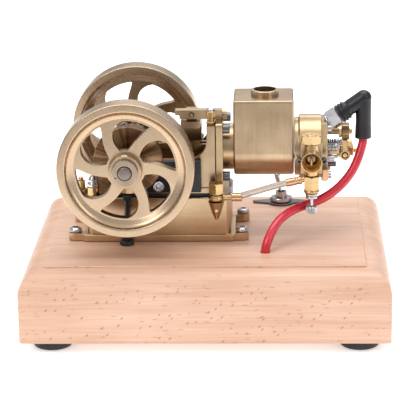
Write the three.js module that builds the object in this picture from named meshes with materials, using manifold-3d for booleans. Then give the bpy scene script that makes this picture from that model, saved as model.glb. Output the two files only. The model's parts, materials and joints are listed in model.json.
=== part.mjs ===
// Model hit-and-miss petrol engine with hopper cooling on a moulded wooden base.
// Millimetres, +Z up. The origin is the centre of the base on the surface that the feet stand on,
// +X runs along the cylinder from the crank to the head, +Y points to the far flywheel.

import * as THREE from 'three';
import { mergeVertices } from 'three/addons/utils/BufferGeometryUtils.js';
import Module from 'manifold-3d';

const wasm = await Module();
wasm.setup();

// ---------------------------------------------------------------- driving dimensions
const GAP = 0.3;

const BASE = { width: 167, depth: 130, face: 22.5, height: 33.3, moulding: 11, step: 0.9, corner: 1.2 };
const FOOT = { radius: 9.8, height: 5.1, inset: 4 };
const POCKET = { x0: -50, x1: 55, y0: -42, y1: 52, depth: 17 };

const BASE_Z = FOOT.height + GAP;
const DECK = BASE_Z + BASE.height;

const CRANK_X = -35.5;
const AXIS_Z = 79.6;
const THROW = 8;
const ROD = 58;

const FLYWHEEL = { radius: 31, width: 11, spacing: 76, hub: 7.35, hubWidth: 12.4, gapIn: 8.9, gapOut: 22.8 };
const SPOKES = 6;
const SPOKE_SWEEP = THREE.MathUtils.degToRad(18);
const SPOKE_FLARE = 2.6;
const SPOKE_START = { near: THREE.MathUtils.degToRad(3.5), far: THREE.MathUtils.degToRad(40) };
const SHAFT_R = 3;
const SHAFT_HALF = 47;

const TANK = { x0: -56, x1: 11.1, half: 17.4, top: 59.6, wall: 2, corner: 3 };
const FILLER = { x: -59.2, y: -8, radius: 3.1, top: 61.6 };
const FLANGE = { x0: -57.5, x1: 13, half: 19, top: 41.9 };
const EAR = { x0: -61.7, x1: 16.2, half: 14.6, radius: 3.1, top: 42.5 };
const FRAME = { x0: -50, x1: 4, half: 16, floor: 61.4, floorTop: 63.7, railTop: 77, wallIn: 11, wallOut: 15 };
const PLATE = { x0: 0.2, x1: 4, top: 92.9 };

const BORE_R = 8.2;
const BARREL_R = 10.75;
const CYL = { flange0: 4.3, flange1: 7.6, end: 40.4, square: 14.2 };
const HOPPER = { x0: 12.5, x1: 40.4, half: 13.3, top: 104.4, wall: 1.8 };
const NECK = { x: 27, radius: 6.45, bore: 5.1 };
const HEAD = { x0: 40.7, disc: 42.7, plate: 53.1, x1: 56, radius: 14.9, recess: 44.8 };
const VALVE = { intakeY: -4.2, exhaustY: 4.2, z: 79.9, stem: 0.9, head: 3.2 };
const MIXER = { x: 48.4, y: -19, z: 77.3, mouth: 4.5 };
// The spark plug leans up and outward from the top of the head, and its boot turns down at the elbow.
const PLUG = { x: 51.4, z: 87.5, tilt: 35 };
const BOOT = { x: 72.8, radius: 3.7, bottom: 83.5 };

const GEAR = { module: 1, pinion: 16, cam: 32, y0: 17.5, y1: 21 };
const CAM_ANGLE = THREE.MathUtils.degToRad(-28);
const CAM_REACH = (GEAR.module * (GEAR.pinion + GEAR.cam)) / 2;
const CAM_X = CRANK_X + CAM_REACH * Math.cos(CAM_ANGLE);
const CAM_Z = AXIS_Z + CAM_REACH * Math.sin(CAM_ANGLE);
const PUSHROD_Y = 23;
const ROCKER = { x: 64.5, z: 74.1, reach: 5.8 };
const INTAKE_RETAINER = 59.6;
const EXHAUST_RETAINER = ROCKER.x - 1 - GAP - 2.4;

const DISC = { radius: 15.8, y0: -25.3, y1: -20.3 };
const BANJO = { x: 4.5, y: -21 };
const CABLE_HOLE = { x: -37.2, y: -22.6 };
const LEAD_HOLE = { x: 27.1, y: -34.3 };
const TOGGLE = { x: 34.5, y: 43.5, pivot: 4.2, lean: 11 };

// Cord routes, each a hand-picked list of centre points from end to end.
const LEAD_ROUTE = [
  [72.8, 0, 83.2], [72.7, -0.2, 81.6], [72.1, -1, 79.2], [70.1, -3, 73.4], [67.3, -5, 68.2], [63.5, -7, 63.7],
  [58.8, -9, 59.9], [53.4, -11, 57], [47.8, -13, 55.3], [42.2, -16.5, 54.3], [37.6, -21, 53.2],
  [33.6, -25.5, 51.2], [30.9, -29.5, 48.4], [28.8, -32.6, 44.9], [27.4, -34.1, 41], [27.1, -34.3, 37.5],
  [27.1, -34.3, 33],
];
const LEAD_R = 2.1;
const FUEL_ROUTE = [
  [11.2, -21, 60.9], [14, -21, 61.2], [18, -20.9, 62.2], [23.8, -20.5, 63.8], [29.3, -20, 65.3],
  [33.5, -19.5, 66.3], [37.2, -19, 67.1],
];
const FUEL_R = 1.5;
const CABLE_ROUTE = [
  [-36.4, -22.4, 57], [-36.5, -22.6, 54.5], [-36.8, -22.7, 51], [-37.1, -22.7, 47.5], [-37.2, -22.6, 44],
  [-37.2, -22.6, 41], [-37.2, -22.6, 37], [-37.2, -22.6, 33],
];
const CABLE_R = 1.3;

// ---------------------------------------------------------------- materials
const paint = (color, roughness, metalness) => (
  new THREE.MeshStandardMaterial({ color, roughness, metalness })
);
const BEECH = paint('#e2bd9c', 0.55, 0);
const RUBBER = paint('#222226', 0.7, 0);
const BRASS = paint('#b89a68', 0.34, 1);
const BRIGHT_BRASS = paint('#d9b25a', 0.22, 1);
const COPPER = paint('#c98d5f', 0.28, 1);
const STEEL = paint('#c9ccd0', 0.25, 1);
const DARK_STEEL = paint('#5a5c60', 0.4, 1);
const BLACK_PLASTIC = paint('#1d1e21', 0.5, 0);
const RED_SILICONE = paint('#d2283c', 0.35, 0);
const CLEAR_TUBE = paint('#efe6d8', 0.2, 0);
const CERAMIC = paint('#f4f4f0', 0.2, 0);

// ---------------------------------------------------------------- solids from three.js geometry
function signedVolume(points, triangles) {
  const a = new THREE.Vector3();
  const b = new THREE.Vector3();
  const c = new THREE.Vector3();
  let volume = 0;
  for (let i = 0; i < triangles.length; i += 3) {
    a.fromArray(points, 3 * triangles[i]);
    b.fromArray(points, 3 * triangles[i + 1]);
    c.fromArray(points, 3 * triangles[i + 2]);
    volume += a.dot(b.cross(c)) / 6;
  }
  return volume;
}

function solid(geometry) {
  geometry.deleteAttribute('normal');
  geometry.deleteAttribute('uv');
  const merged = mergeVertices(geometry, 1e-4);
  const points = new Float32Array(merged.attributes.position.array);
  const triangles = [];
  const index = merged.index.array;
  for (let i = 0; i < index.length; i += 3) {
    const [a, b, c] = [index[i], index[i + 1], index[i + 2]];
    if (a !== b && b !== c && c !== a) triangles.push(a, b, c);
  }
  if (signedVolume(points, triangles) < 0) triangles.reverse();
  const mesh = new wasm.Mesh({ numProp: 3, vertProperties: points, triVerts: new Uint32Array(triangles) });
  return new wasm.Manifold(mesh);
}

// Turns a geometry whose axis is Y so that the axis runs along x, y or z.
function toAxis(geometry, axis) {
  if (axis === 'x') geometry.rotateZ(-Math.PI / 2);
  if (axis === 'z') geometry.rotateX(Math.PI / 2);
  return geometry;
}

// A rod along an axis from a to b, centred on the point (u, v) of the other two axes in x, y, z order.
function rod(axis, [u, v], radius, a, b, sides = 20, endRadius = radius) {
  const geometry = toAxis(new THREE.CylinderGeometry(endRadius, radius, b - a, sides), axis);
  const middle = (a + b) / 2;
  const place = { x: [middle, u, v], y: [u, middle, v], z: [u, v, middle] }[axis];
  return solid(geometry.translate(...place));
}

function block(x0, x1, y0, y1, z0, z1) {
  const geometry = new THREE.BoxGeometry(x1 - x0, y1 - y0, z1 - z0);
  return solid(geometry.translate((x0 + x1) / 2, (y0 + y1) / 2, (z0 + z1) / 2));
}

function ball([x, y, z], radius, sides = 16) {
  return solid(new THREE.SphereGeometry(radius, sides, sides / 2).translate(x, y, z));
}

// A turned piece: the profile holds [radius, height] pairs along the axis.
function turned(axis, [x, y, z], profile, sides = 20) {
  const points = profile.map(([r, h]) => new THREE.Vector2(r, h));
  return solid(toAxis(new THREE.LatheGeometry(points, sides), axis).translate(x, y, z));
}

function outline(points) {
  return new THREE.Shape(points.map(([u, v]) => new THREE.Vector2(u, v)));
}

function roundedRectangle(width, height, radius) {
  const [w, h] = [width / 2, height / 2];
  const shape = new THREE.Shape();
  shape.moveTo(w, -h + radius);
  shape.absarc(w - radius, h - radius, radius, 0, Math.PI / 2);
  shape.absarc(-w + radius, h - radius, radius, Math.PI / 2, Math.PI);
  shape.absarc(-w + radius, -h + radius, radius, Math.PI, 1.5 * Math.PI);
  shape.absarc(w - radius, -h + radius, radius, 1.5 * Math.PI, 2 * Math.PI);
  return shape;
}

// Extrudes an outline of the plane at right angles to an axis, from a to b along that axis.
function prism(axis, shape, a, b, curveSegments = 3) {
  const geometry = new THREE.ExtrudeGeometry(shape, { depth: b - a, bevelEnabled: false, curveSegments });
  const [X, Y, Z] = [new THREE.Vector3(1, 0, 0), new THREE.Vector3(0, 1, 0), new THREE.Vector3(0, 0, 1)];
  const basis = new THREE.Matrix4();
  if (axis === 'x') basis.makeBasis(Y, Z, X).setPosition(a, 0, 0);
  if (axis === 'y') basis.makeBasis(X, Z, Y.clone().negate()).setPosition(0, b, 0);
  if (axis === 'z') basis.setPosition(0, 0, a);
  return solid(geometry.applyMatrix4(basis));
}

function tube(points, radius, steps, sides = 8) {
  const curve = new THREE.CatmullRomCurve3(points.map((p) => new THREE.Vector3(...p)), false, 'centripetal');
  const ring = Array.from({ length: sides }, (_, i) => [
    radius * Math.cos((2 * Math.PI * i) / sides),
    radius * Math.sin((2 * Math.PI * i) / sides),
  ]);
  const options = { steps, extrudePath: curve, bevelEnabled: false };
  return solid(new THREE.ExtrudeGeometry(outline(ring), options));
}

function join(...pieces) {
  return pieces.reduce((whole, piece) => whole.add(piece));
}

function cut(body, ...tools) {
  return tools.reduce((rest, tool) => rest.subtract(tool), body);
}

function meshOf(name, body, material) {
  const { vertProperties, triVerts } = body.getMesh();
  const geometry = new THREE.BufferGeometry();
  geometry.setAttribute('position', new THREE.BufferAttribute(vertProperties, 3));
  geometry.setIndex(new THREE.BufferAttribute(triVerts, 1));
  geometry.computeVertexNormals();
  const mesh = new THREE.Mesh(geometry, material);
  mesh.name = name;
  return mesh;
}

// ---------------------------------------------------------------- base and electrics
function woodenBase() {
  const { width, depth, face, height, moulding, step, corner } = BASE;
  const lower = prism('z', roundedRectangle(width, depth, corner), 0, face);
  const inner = roundedRectangle(width - 2 * (moulding - step), depth - 2 * (moulding - step), corner);
  const ovolo = {
    depth: 1, curveSegments: 3, bevelSegments: 5, bevelSize: moulding - step,
    bevelThickness: height - step - face,
  };
  const rounded = solid(new THREE.ExtrudeGeometry(inner, ovolo).translate(0, 0, face - 1));
  const upper = rounded.intersect(block(-width, width, -depth, depth, face - 0.5, height));
  const raised = roundedRectangle(width - 2 * moulding, depth - 2 * moulding, corner);
  const plateau = prism('z', raised, face, height);
  const pocket = block(POCKET.x0, POCKET.x1, POCKET.y0, POCKET.y1, -1, POCKET.depth);
  const rebate = block(POCKET.x0 - 3, POCKET.x1 + 3, POCKET.y0 - 3, POCKET.y1 + 3, -1, 2.4);
  const holes = [
    rod('z', [LEAD_HOLE.x, LEAD_HOLE.y], LEAD_R + GAP, POCKET.depth - 1, height + 1, 16),
    rod('z', [CABLE_HOLE.x, CABLE_HOLE.y], 2.6, POCKET.depth - 1, height + 1, 16),
    rod('z', [TOGGLE.x, TOGGLE.y], 3.3, POCKET.depth - 1, height + 1, 16),
    ...earPlaces().map(([x, y]) => rod('z', [x, y], 1.5, height - 9, height + 1, 10)),
  ];
  return cut(join(lower, upper, plateau), pocket, rebate, ...holes).translate(0, 0, BASE_Z);
}

function footPlaces() {
  const x = BASE.width / 2 - FOOT.inset - FOOT.radius;
  const y = BASE.depth / 2 - FOOT.inset - FOOT.radius;
  return { front_left: [-x, -y], front_right: [x, -y], rear_left: [-x, y], rear_right: [x, y] };
}

function foot([x, y]) {
  const { radius, height } = FOOT;
  const profile = [[0, 0], [radius - 1.4, 0], [radius - 0.5, 0.8], [radius, height], [0, height]];
  return turned('z', [x, y, 0], profile, 28);
}

function baseCover() {
  const z = BASE_Z + 0.5;
  return block(POCKET.x0 - 2.7, POCKET.x1 + 2.7, POCKET.y0 - 2.7, POCKET.y1 + 2.7, z, z + 1.6);
}

function batteryPack() {
  const z = BASE_Z + 2.4;
  return block(-40, 20, 2, 34, z, z + 14);
}

function ignitionModule() {
  const z = BASE_Z + 2.4;
  return block(-10, 20, -30, -6, z, z + 11);
}

// A round plate with a tapered tip on either side.
function togglePlate() {
  const [disc, tip] = [6.9, 14];
  const z = DECK + GAP;
  const diamond = outline([[-tip, -1.2], [0, -3.4], [tip, -1.2], [tip, 1.2], [0, 3.4], [-tip, 1.2]]);
  const tips = prism('z', diamond, z, z + 0.8);
  const plate = join(rod('z', [0, 0], disc, z, z + 0.8, 28), tips).translate(TOGGLE.x, TOGGLE.y, 0);
  return cut(plate, rod('z', [TOGGLE.x, TOGGLE.y], 3.3, DECK - 1, DECK + 3, 16));
}

function toggleBushing() {
  const z = DECK + GAP + 0.8 + GAP;
  const at = [TOGGLE.x, TOGGLE.y];
  const nut = rod('z', at, 5.6, z, z + 1.8, 6);
  const thread = rod('z', at, 3, DECK - 19, z + 4.6, 16);
  const well = rod('z', at, 1.9, z + 1.6, z + 6, 16);
  return cut(join(nut, thread), well);
}

function toggleLever() {
  const profile = [[0, -0.7], [0.9, -0.7], [0.9, 3.4], [1.5, 10], [1.2, 11], [0, 11.4]];
  const lever = turned('z', [0, 0, 0], profile, 10).rotate([0, -TOGGLE.lean, 0]);
  return lever.translate(TOGGLE.x, TOGGLE.y, DECK + TOGGLE.pivot);
}

function cableGrommet() {
  const profile = [[1.6, 0], [3.4, 0], [3, 1.4], [1.9, 1.8], [1.6, 1.8]];
  return turned('z', [CABLE_HOLE.x, CABLE_HOLE.y, DECK + GAP], [...profile, profile[0]], 16);
}

// The black sensor holder: a block beside the frame with an arm that carries the sensor under the disc.
function sensorBracket() {
  const body = block(-27.3, -2.5, -19.6, -16.4, 62.8, 77.6);
  const arm = block(-40, -24, -19.6, -17.8, 57.6, 64);
  const sensor = block(-40, -32.8, -25, -19, 57.6, 63);
  return cut(join(body, arm, sensor), rod('y', [-21.9, 66.4], 1.4, -20, -15, 12));
}

// ---------------------------------------------------------------- tank and fuel
function earPlaces() {
  const { x0, x1, half } = EAR;
  return [[x0, -half], [x1, -half], [x0, half], [x1, half]];
}

function roundedBlock(x0, x1, half, z0, z1, radius) {
  const shape = roundedRectangle(x1 - x0, 2 * half, radius);
  return prism('z', shape, z0, z1).translate((x0 + x1) / 2, 0, 0);
}

// A cone hanging from the fuel outlet, leaned back so that its point meets the tank wall.
function corbel() {
  const [top, point] = [TANK.top - 0.6, 48];
  const cone = new THREE.CylinderGeometry(3.7, 0.5, top - point, 20).rotateX(Math.PI / 2);
  const lean = (BANJO.y + TANK.half - 1) / (top - point);
  const shear = new THREE.Matrix4().set(1, 0, 0, BANJO.x, 0, 1, lean, 0, 0, 0, 1, 0, 0, 0, 0, 1);
  cone.translate(0, 0, (top - point) / 2).applyMatrix4(shear);
  return solid(cone.translate(0, -TANK.half + 1, point));
}

function fuelTank() {
  const bottom = DECK + GAP;
  const { x0, x1, half, top, wall, corner } = TANK;
  const body = roundedBlock(x0, x1, half, bottom, top, corner);
  const flange = roundedBlock(FLANGE.x0, FLANGE.x1, FLANGE.half, bottom, FLANGE.top, 1);
  const ears = earPlaces().map(([x, y]) => {
    const inward = x < 0 ? 8 : -8;
    const tab = block(Math.min(x, x + inward), Math.max(x, x + inward), y - 3.4, y + 3.4, bottom, EAR.top);
    return join(rod('z', [x, y], EAR.radius, bottom, EAR.top, 20), tab);
  });
  const [fillX, fillY] = [FILLER.x, FILLER.y];
  const neck = rod('z', [fillX, fillY], FILLER.radius, 52, FILLER.top, 16);
  const shoulder = block(fillX, x0 + 4, fillY - FILLER.radius, fillY + FILLER.radius, 52, top);
  const floor = bottom + 2.5;
  const cavity = block(-46, FRAME.x1 - 3, wall - half, half - wall, floor, top + 1);
  const fillerBore = rod('z', [fillX, fillY], 1.5, 55, 63, 10);
  const fillerDuct = rod('x', [fillY, 57], 1.4, fillX, -45, 10);
  const outletBore = rod('z', [BANJO.x, BANJO.y], 1.5, 52, 61, 10);
  const outletDuct = rod('y', [BANJO.x, 54.5], 1.2, BANJO.y, -half + 3, 10);
  const screws = earPlaces().map(([x, y]) => rod('z', [x, y], 1.5, bottom - 1, EAR.top + 1, 10));
  const shell = join(body, flange, corbel(), neck, shoulder, ...ears);
  return cut(shell, cavity, fillerBore, fillerDuct, outletBore, outletDuct, ...screws);
}

function tankScrew([x, y]) {
  const head = [[0, -7.5], [1.15, -7.5], [1.15, 0], [3, 0], [2.7, 1.2], [1.5, 2], [0, 2]];
  return turned('z', [x, y, EAR.top + GAP], head, 12);
}

function fuelCap() {
  const profile = [[0, -3], [1.1, -3], [1.1, 0], [2, 0], [2, 3.6], [1.2, 4.2], [1, 5], [0, 5.6]];
  return turned('z', [FILLER.x, FILLER.y, FILLER.top + GAP], profile, 16);
}

function tankGasket() {
  const top = FRAME.floor - GAP;
  const sheet = block(FRAME.x0, FRAME.x1, -FRAME.half, FRAME.half, TANK.top + GAP, top);
  return cut(sheet, block(-46, FRAME.x1 - 3, -15, 15, TANK.top - 1, top + 1));
}

function banjoBolt() {
  const head = rod('z', [BANJO.x, BANJO.y], 3.7, 63, 67.8, 6);
  const collar = rod('z', [BANJO.x, BANJO.y], 2.6, 62.6, 63.2, 16);
  const shank = rod('z', [BANJO.x, BANJO.y], 1.15, 54, 63, 10);
  return join(head, collar, shank);
}

function banjoRing() {
  const profile = [[1.5, 0], [2.8, 0], [3.6, 1.1], [3.6, 1.9], [2.8, 3], [1.5, 3], [1.5, 0]];
  const ring = turned('z', [BANJO.x, BANJO.y, 59.3], profile, 14);
  const stub = rod('x', [BANJO.y, 60.8], 1.2, BANJO.x + 2.4, 10.9, 12);
  return join(ring, stub);
}

// ---------------------------------------------------------------- engine frame and crank train
// The side wall: a low rail whose top sweeps up to the cylinder plate in a hollow curve.
function sideOutline() {
  const { x0, floorTop, railTop } = FRAME;
  const sweep = 9;
  const shape = new THREE.Shape();
  shape.moveTo(x0, floorTop - 1);
  shape.lineTo(PLATE.x1 - 1, floorTop - 1);
  shape.lineTo(PLATE.x1 - 1, railTop + sweep);
  shape.lineTo(PLATE.x0, railTop + sweep);
  shape.absarc(PLATE.x0 - sweep, railTop + sweep, sweep, 0, -Math.PI / 2, true);
  shape.lineTo(x0, railTop);
  return shape;
}

function engineFrame() {
  const { x0, x1, half, floor, floorTop, railTop, wallIn, wallOut } = FRAME;
  const floorPlate = block(x0, x1, -half, half, floor, floorTop);
  const nearWall = prism('y', sideOutline(), -wallOut, -wallIn, 8);
  const farWall = prism('y', sideOutline(), wallIn, wallOut, 8);
  const plate = block(PLATE.x0, PLATE.x1, -wallOut, wallOut, floorTop - 1, PLATE.top);
  const nearBoss = rod('y', [CRANK_X, AXIS_Z], 7.4, -wallOut, -wallIn, 28);
  const farBoss = rod('y', [CRANK_X, AXIS_Z], 7.4, wallIn, wallOut, 28);
  const post = block(-12, -3, wallIn, wallOut, railTop - 2, 93.4);
  const bridge = block(-12, -3, -8, wallOut, 90.3, 93.4);
  const stud = rod('y', [CAM_X, CAM_Z], 2, wallIn, 25.6, 14);
  const latchEar = block(-9.4, -4.6, -1.7, 1.2, 93, 98.4);
  const latchPin = rod('y', [-7, 96.2], 0.9, -7.4, -1.5, 12);
  const bearings = rod('y', [CRANK_X, AXIS_Z], 4.7, -wallOut - 1, wallOut + 1, 24);
  const bore = rod('x', [0, AXIS_Z], BARREL_R - 0.4, PLATE.x0 - 4, PLATE.x1 + 1, 32);
  const walls = join(floorPlate, nearWall, farWall, plate, nearBoss, farBoss);
  const body = join(walls, post, bridge, stud, latchEar, latchPin);
  return cut(body, bearings, bore);
}

function bearing(y0, y1) {
  const hole = rod('y', [CRANK_X, AXIS_Z], SHAFT_R + 0.2, y0 - 1, y1 + 1);
  return cut(rod('y', [CRANK_X, AXIS_Z], 4.4, y0, y1), hole);
}

function crankWeb(y0, y1) {
  const web = new THREE.Shape();
  web.absarc(THROW, 0, 3.6, -Math.PI / 2, Math.PI / 2);
  web.lineTo(0, 5.5);
  web.absarc(0, 0, 11, 0.6 * Math.PI, 1.4 * Math.PI);
  web.lineTo(0, -5.5);
  return prism('y', web, y0, y1, 6).translate(CRANK_X, 0, AXIS_Z);
}

function crankshaft() {
  const left = rod('y', [CRANK_X, AXIS_Z], SHAFT_R, -SHAFT_HALF, -5);
  const right = rod('y', [CRANK_X, AXIS_Z], SHAFT_R, 5, SHAFT_HALF);
  const pin = rod('y', [CRANK_X + THROW, AXIS_Z], 2.4, -5, 5, 16);
  return join(left, right, crankWeb(-7.8, -4.3), crankWeb(4.3, 7.8), pin);
}

// One opening between two spokes. The spokes curve back going outward and flare at both ends.
function spokeGap(turn) {
  const { gapIn, gapOut } = FLYWHEEL;
  const steps = 6;
  const side = (sign) => Array.from({ length: steps + 1 }, (_, i) => {
    const t = 0.5 - 0.5 * Math.cos((Math.PI * i) / steps);
    const radius = gapIn + (gapOut - gapIn) * t;
    const half = 2 + 0.7 * t + SPOKE_FLARE * t ** 7 + 1.1 * (1 - t) ** 4;
    const pitch = Math.PI / SPOKES;
    const angle = turn - SPOKE_SWEEP * t * t + sign * (pitch - half / radius);
    return [radius * Math.cos(angle), radius * Math.sin(angle)];
  });
  return outline([...side(-1), ...side(1).reverse()]);
}

function flywheel(y, phase) {
  const { radius, width, hub, hubWidth, gapOut } = FLYWHEEL;
  const w = width / 2;
  const half = [
    [hub, hubWidth / 2], [hub, 2.9], [gapOut, 2.9], [26.8, 4.1], [27.4, w], [radius, w],
  ];
  const mirrored = half.map(([r, h]) => [r, -h]).reverse();
  const profile = [[SHAFT_R + GAP, hubWidth / 2], ...half, ...mirrored, [SHAFT_R + GAP, -hubWidth / 2]];
  const wheel = turned('y', [0, 0, 0], [...profile, profile[0]], 42);
  const gaps = Array.from({ length: SPOKES }, (_, i) => {
    const turn = phase + (i + 0.5) * ((2 * Math.PI) / SPOKES);
    return prism('y', spokeGap(turn), -width, width);
  });
  return cut(wheel, ...gaps).translate(CRANK_X, y, AXIS_Z);
}

function hubCollar(y0, y1) {
  const hole = rod('y', [CRANK_X, AXIS_Z], SHAFT_R + 0.2, y0 - 1, y1 + 1);
  return cut(rod('y', [CRANK_X, AXIS_Z], 6, y0, y1, 20), hole);
}

function magnetDisc() {
  const { radius, y0, y1 } = DISC;
  const profile = [[SHAFT_R + GAP, y0], [radius, y0], [radius, y1], [SHAFT_R + GAP, y1]];
  return turned('y', [CRANK_X, 0, AXIS_Z], [...profile, profile[0]], 40);
}

// A spur gear with straight-sided teeth, slimmer than half a pitch so that a pair runs with backlash.
function gearOutline(teeth, phase) {
  const pitchRadius = (GEAR.module * teeth) / 2;
  const pitch = (2 * Math.PI) / teeth;
  const [root, tip] = [pitchRadius - 1.05, pitchRadius + 0.75];
  const corners = [[root, -0.33], [tip, -0.13], [tip, 0.13], [root, 0.33]];
  const points = [];
  for (let i = 0; i < teeth; i += 1) {
    for (const [radius, share] of corners) {
      const angle = phase + (i + share) * pitch;
      points.push([radius * Math.cos(angle), radius * Math.sin(angle)]);
    }
  }
  return outline(points);
}

function crankPinion() {
  const teeth = prism('y', gearOutline(GEAR.pinion, CAM_ANGLE), GEAR.y0, GEAR.y1);
  const gear = teeth.translate(CRANK_X, 0, AXIS_Z);
  return cut(gear, rod('y', [CRANK_X, AXIS_Z], SHAFT_R + GAP, GEAR.y0 - 1, GEAR.y1 + 1));
}

function camGear() {
  const phase = CAM_ANGLE + Math.PI + Math.PI / GEAR.cam;
  const gear = prism('y', gearOutline(GEAR.cam, phase), GEAR.y0, GEAR.y1).translate(CAM_X, 0, CAM_Z);
  const base = rod('y', [CAM_X, CAM_Z], 5, GEAR.y1 - 0.5, 24.6);
  const lobe = rod('y', [CAM_X - 3.4, CAM_Z], 3.2, GEAR.y1 - 0.5, 24.6, 16);
  const lightening = Array.from({ length: 4 }, (_, i) => {
    const angle = (i * Math.PI) / 2 + 0.6;
    return rod('y', [CAM_X + 10 * Math.cos(angle), CAM_Z + 10 * Math.sin(angle)], 2.6, 16, 22, 12);
  });
  return cut(join(gear, base, lobe), rod('y', [CAM_X, CAM_Z], 2.3, 16, 26, 14), ...lightening);
}

// The big-end strap and the middle leaf of the rod; it stays level as the crank turns.
function bigEnd() {
  const pinX = CRANK_X + THROW;
  const eye = rod('y', [pinX, AXIS_Z], 4.5, -3.9, 3.9);
  const leaf = block(pinX, pinX + 24, -1.5, 1.5, AXIS_Z - 1.9, AXIS_Z + 1.9);
  return cut(join(eye, leaf), rod('y', [pinX, AXIS_Z], 2.7, -5, 5, 16));
}

// The piston side of the rod: two leaves either side of the middle leaf, joined round the wrist pin.
function rodFork() {
  const wristX = CRANK_X + THROW + ROD;
  const eye = rod('y', [wristX, AXIS_Z], 3.7, -3.6, 3.6);
  const leaf = (y0, y1) => block(wristX - 36.6, wristX, y0, y1, AXIS_Z - 1.9, AXIS_Z + 1.9);
  const leaves = [leaf(-3.6, -1.8), leaf(1.8, 3.6)];
  return cut(join(eye, ...leaves), rod('y', [wristX, AXIS_Z], 2.3, -5, 5, 16));
}

function wristPin() {
  const wristX = CRANK_X + THROW + ROD;
  return rod('y', [wristX, AXIS_Z], 2, -6.9, 6.9, 16);
}

function piston() {
  const wristX = CRANK_X + THROW + ROD;
  const [skirt, crown] = [wristX - 8, wristX + 7.5];
  const body = rod('x', [0, AXIS_Z], BORE_R - GAP, skirt, crown, 28);
  const cavity = rod('x', [0, AXIS_Z], 6.3, skirt - 1, crown - 2.6, 20);
  const pinHole = rod('y', [wristX, AXIS_Z], 2.3, -9, 9, 16);
  return cut(body, cavity, pinHole);
}

// ---------------------------------------------------------------- cylinder, hopper and head
function cylinder() {
  const spigot = rod('x', [0, AXIS_Z], BARREL_R - 0.8, 0.5, CYL.flange0 + 0.5, 32);
  const square = roundedRectangle(2 * CYL.square, 2 * CYL.square, 1.5);
  const flange = prism('x', square, CYL.flange0, CYL.flange1).translate(0, 0, AXIS_Z);
  const barrel = rod('x', [0, AXIS_Z], BARREL_R, CYL.flange1 - 0.5, CYL.end, 32);
  return cut(join(spigot, flange, barrel), rod('x', [0, AXIS_Z], BORE_R, 0, CYL.end + 1, 32));
}

// Flat sides above the cylinder axis and a half-round bottom below it.
function hopperOutline(half, top) {
  const shape = new THREE.Shape();
  shape.moveTo(half, top);
  shape.lineTo(-half, top);
  shape.absarc(0, 0, half, Math.PI, 2 * Math.PI);
  return shape;
}

function waterHopper() {
  const { x0, x1, half, top, wall } = HOPPER;
  const height = top - AXIS_Z;
  const outer = prism('x', hopperOutline(half, height), x0, x1, 16).translate(0, 0, AXIS_Z);
  const inside = prism('x', hopperOutline(half - wall, height - wall), x0 + wall, x1 - wall, 16);
  const neck = rod('z', [NECK.x, 0], NECK.radius, top - 0.5, top + 2.6, 32);
  const throat = rod('z', [NECK.x, 0], NECK.bore, top - wall - 1, top + 4, 32);
  const barrel = rod('x', [0, AXIS_Z], BARREL_R + GAP, x0 - 1, x1 + 1, 32);
  return cut(join(outer, neck), inside.translate(0, 0, AXIS_Z), throat, barrel);
}

function cylinderHead() {
  const lip = rod('x', [0, AXIS_Z], 13.6, HEAD.x0, HEAD.disc + 0.5, 24);
  const disc = rod('x', [0, AXIS_Z], HEAD.radius, HEAD.disc, HEAD.plate + 0.5, 32);
  const plate = block(HEAD.plate, HEAD.x1, -9, 9, 65, 92.4);
  const recess = rod('x', [0, AXIS_Z], BORE_R, HEAD.x0 - 1, HEAD.recess, 28);
  const guide = (y) => rod('x', [y, VALVE.z], VALVE.stem + GAP, 40, 60, 10);
  const guides = [VALVE.intakeY, VALVE.exhaustY].map(guide);
  const intakePort = rod('y', [MIXER.x, MIXER.z], 2.4, -16, VALVE.intakeY, 14);
  const intakeSeat = rod('x', [VALVE.intakeY, VALVE.z], 2.6, 44, MIXER.x + 2, 14);
  const exhaustPort = rod('y', [MIXER.x, VALVE.z], 2.4, VALVE.exhaustY, 16, 14);
  const exhaustSeat = rod('x', [VALVE.exhaustY, VALVE.z], 2.6, 44, MIXER.x + 2, 14);
  const body = join(lip, disc, plate);
  const plug = plugBore();
  return cut(body, recess, ...guides, intakePort, intakeSeat, exhaustPort, exhaustSeat, plug);
}

// Moves a body whose axis is Z onto the plug's leaning axis, with its origin at the plug's seat.
function onPlugAxis(body) {
  return body.rotate([0, 90 - PLUG.tilt, 0]).translate(PLUG.x, 0, PLUG.z);
}

function plugBore() {
  const seat = rod('z', [0, 0], 5.2, 6.2, 24, 20);
  return onPlugAxis(join(rod('z', [0, 0], 1.9, -7, 8, 14), seat));
}

function sparkPlug() {
  const thread = rod('z', [0, 0], 1.6, -6, 7, 14);
  const hex = rod('z', [0, 0], 4.8, 6.6, 12.1, 6);
  const neck = rod('z', [0, 0], 2.4, 11.8, 14, 16);
  const insulator = rod('z', [0, 0], 1.6, 13.6, 17.6, 14);
  return onPlugAxis(join(thread, hex, neck, insulator));
}

// The rubber elbow: a ribbed collar on the plug, an arm along the plug's axis and a leg that points down.
function plugBoot() {
  const reach = (BOOT.x - PLUG.x) / Math.cos(THREE.MathUtils.degToRad(PLUG.tilt));
  const elbowZ = PLUG.z + reach * Math.sin(THREE.MathUtils.degToRad(PLUG.tilt));
  const collar = onPlugAxis(rod('z', [0, 0], 4.6, 12.4, 16.8, 20));
  const arm = onPlugAxis(rod('z', [0, 0], BOOT.radius, 16.4, reach, 16));
  const leg = rod('z', [BOOT.x, 0], BOOT.radius, BOOT.bottom, elbowZ, 16);
  const elbow = ball([BOOT.x, 0, elbowZ], BOOT.radius + 0.05, 16);
  const plugRoom = onPlugAxis(join(rod('z', [0, 0], 2.7, 12, 14.4, 16), rod('z', [0, 0], 1.9, 14, 18, 14)));
  return cut(join(collar, arm, leg, elbow), plugRoom);
}

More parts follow.
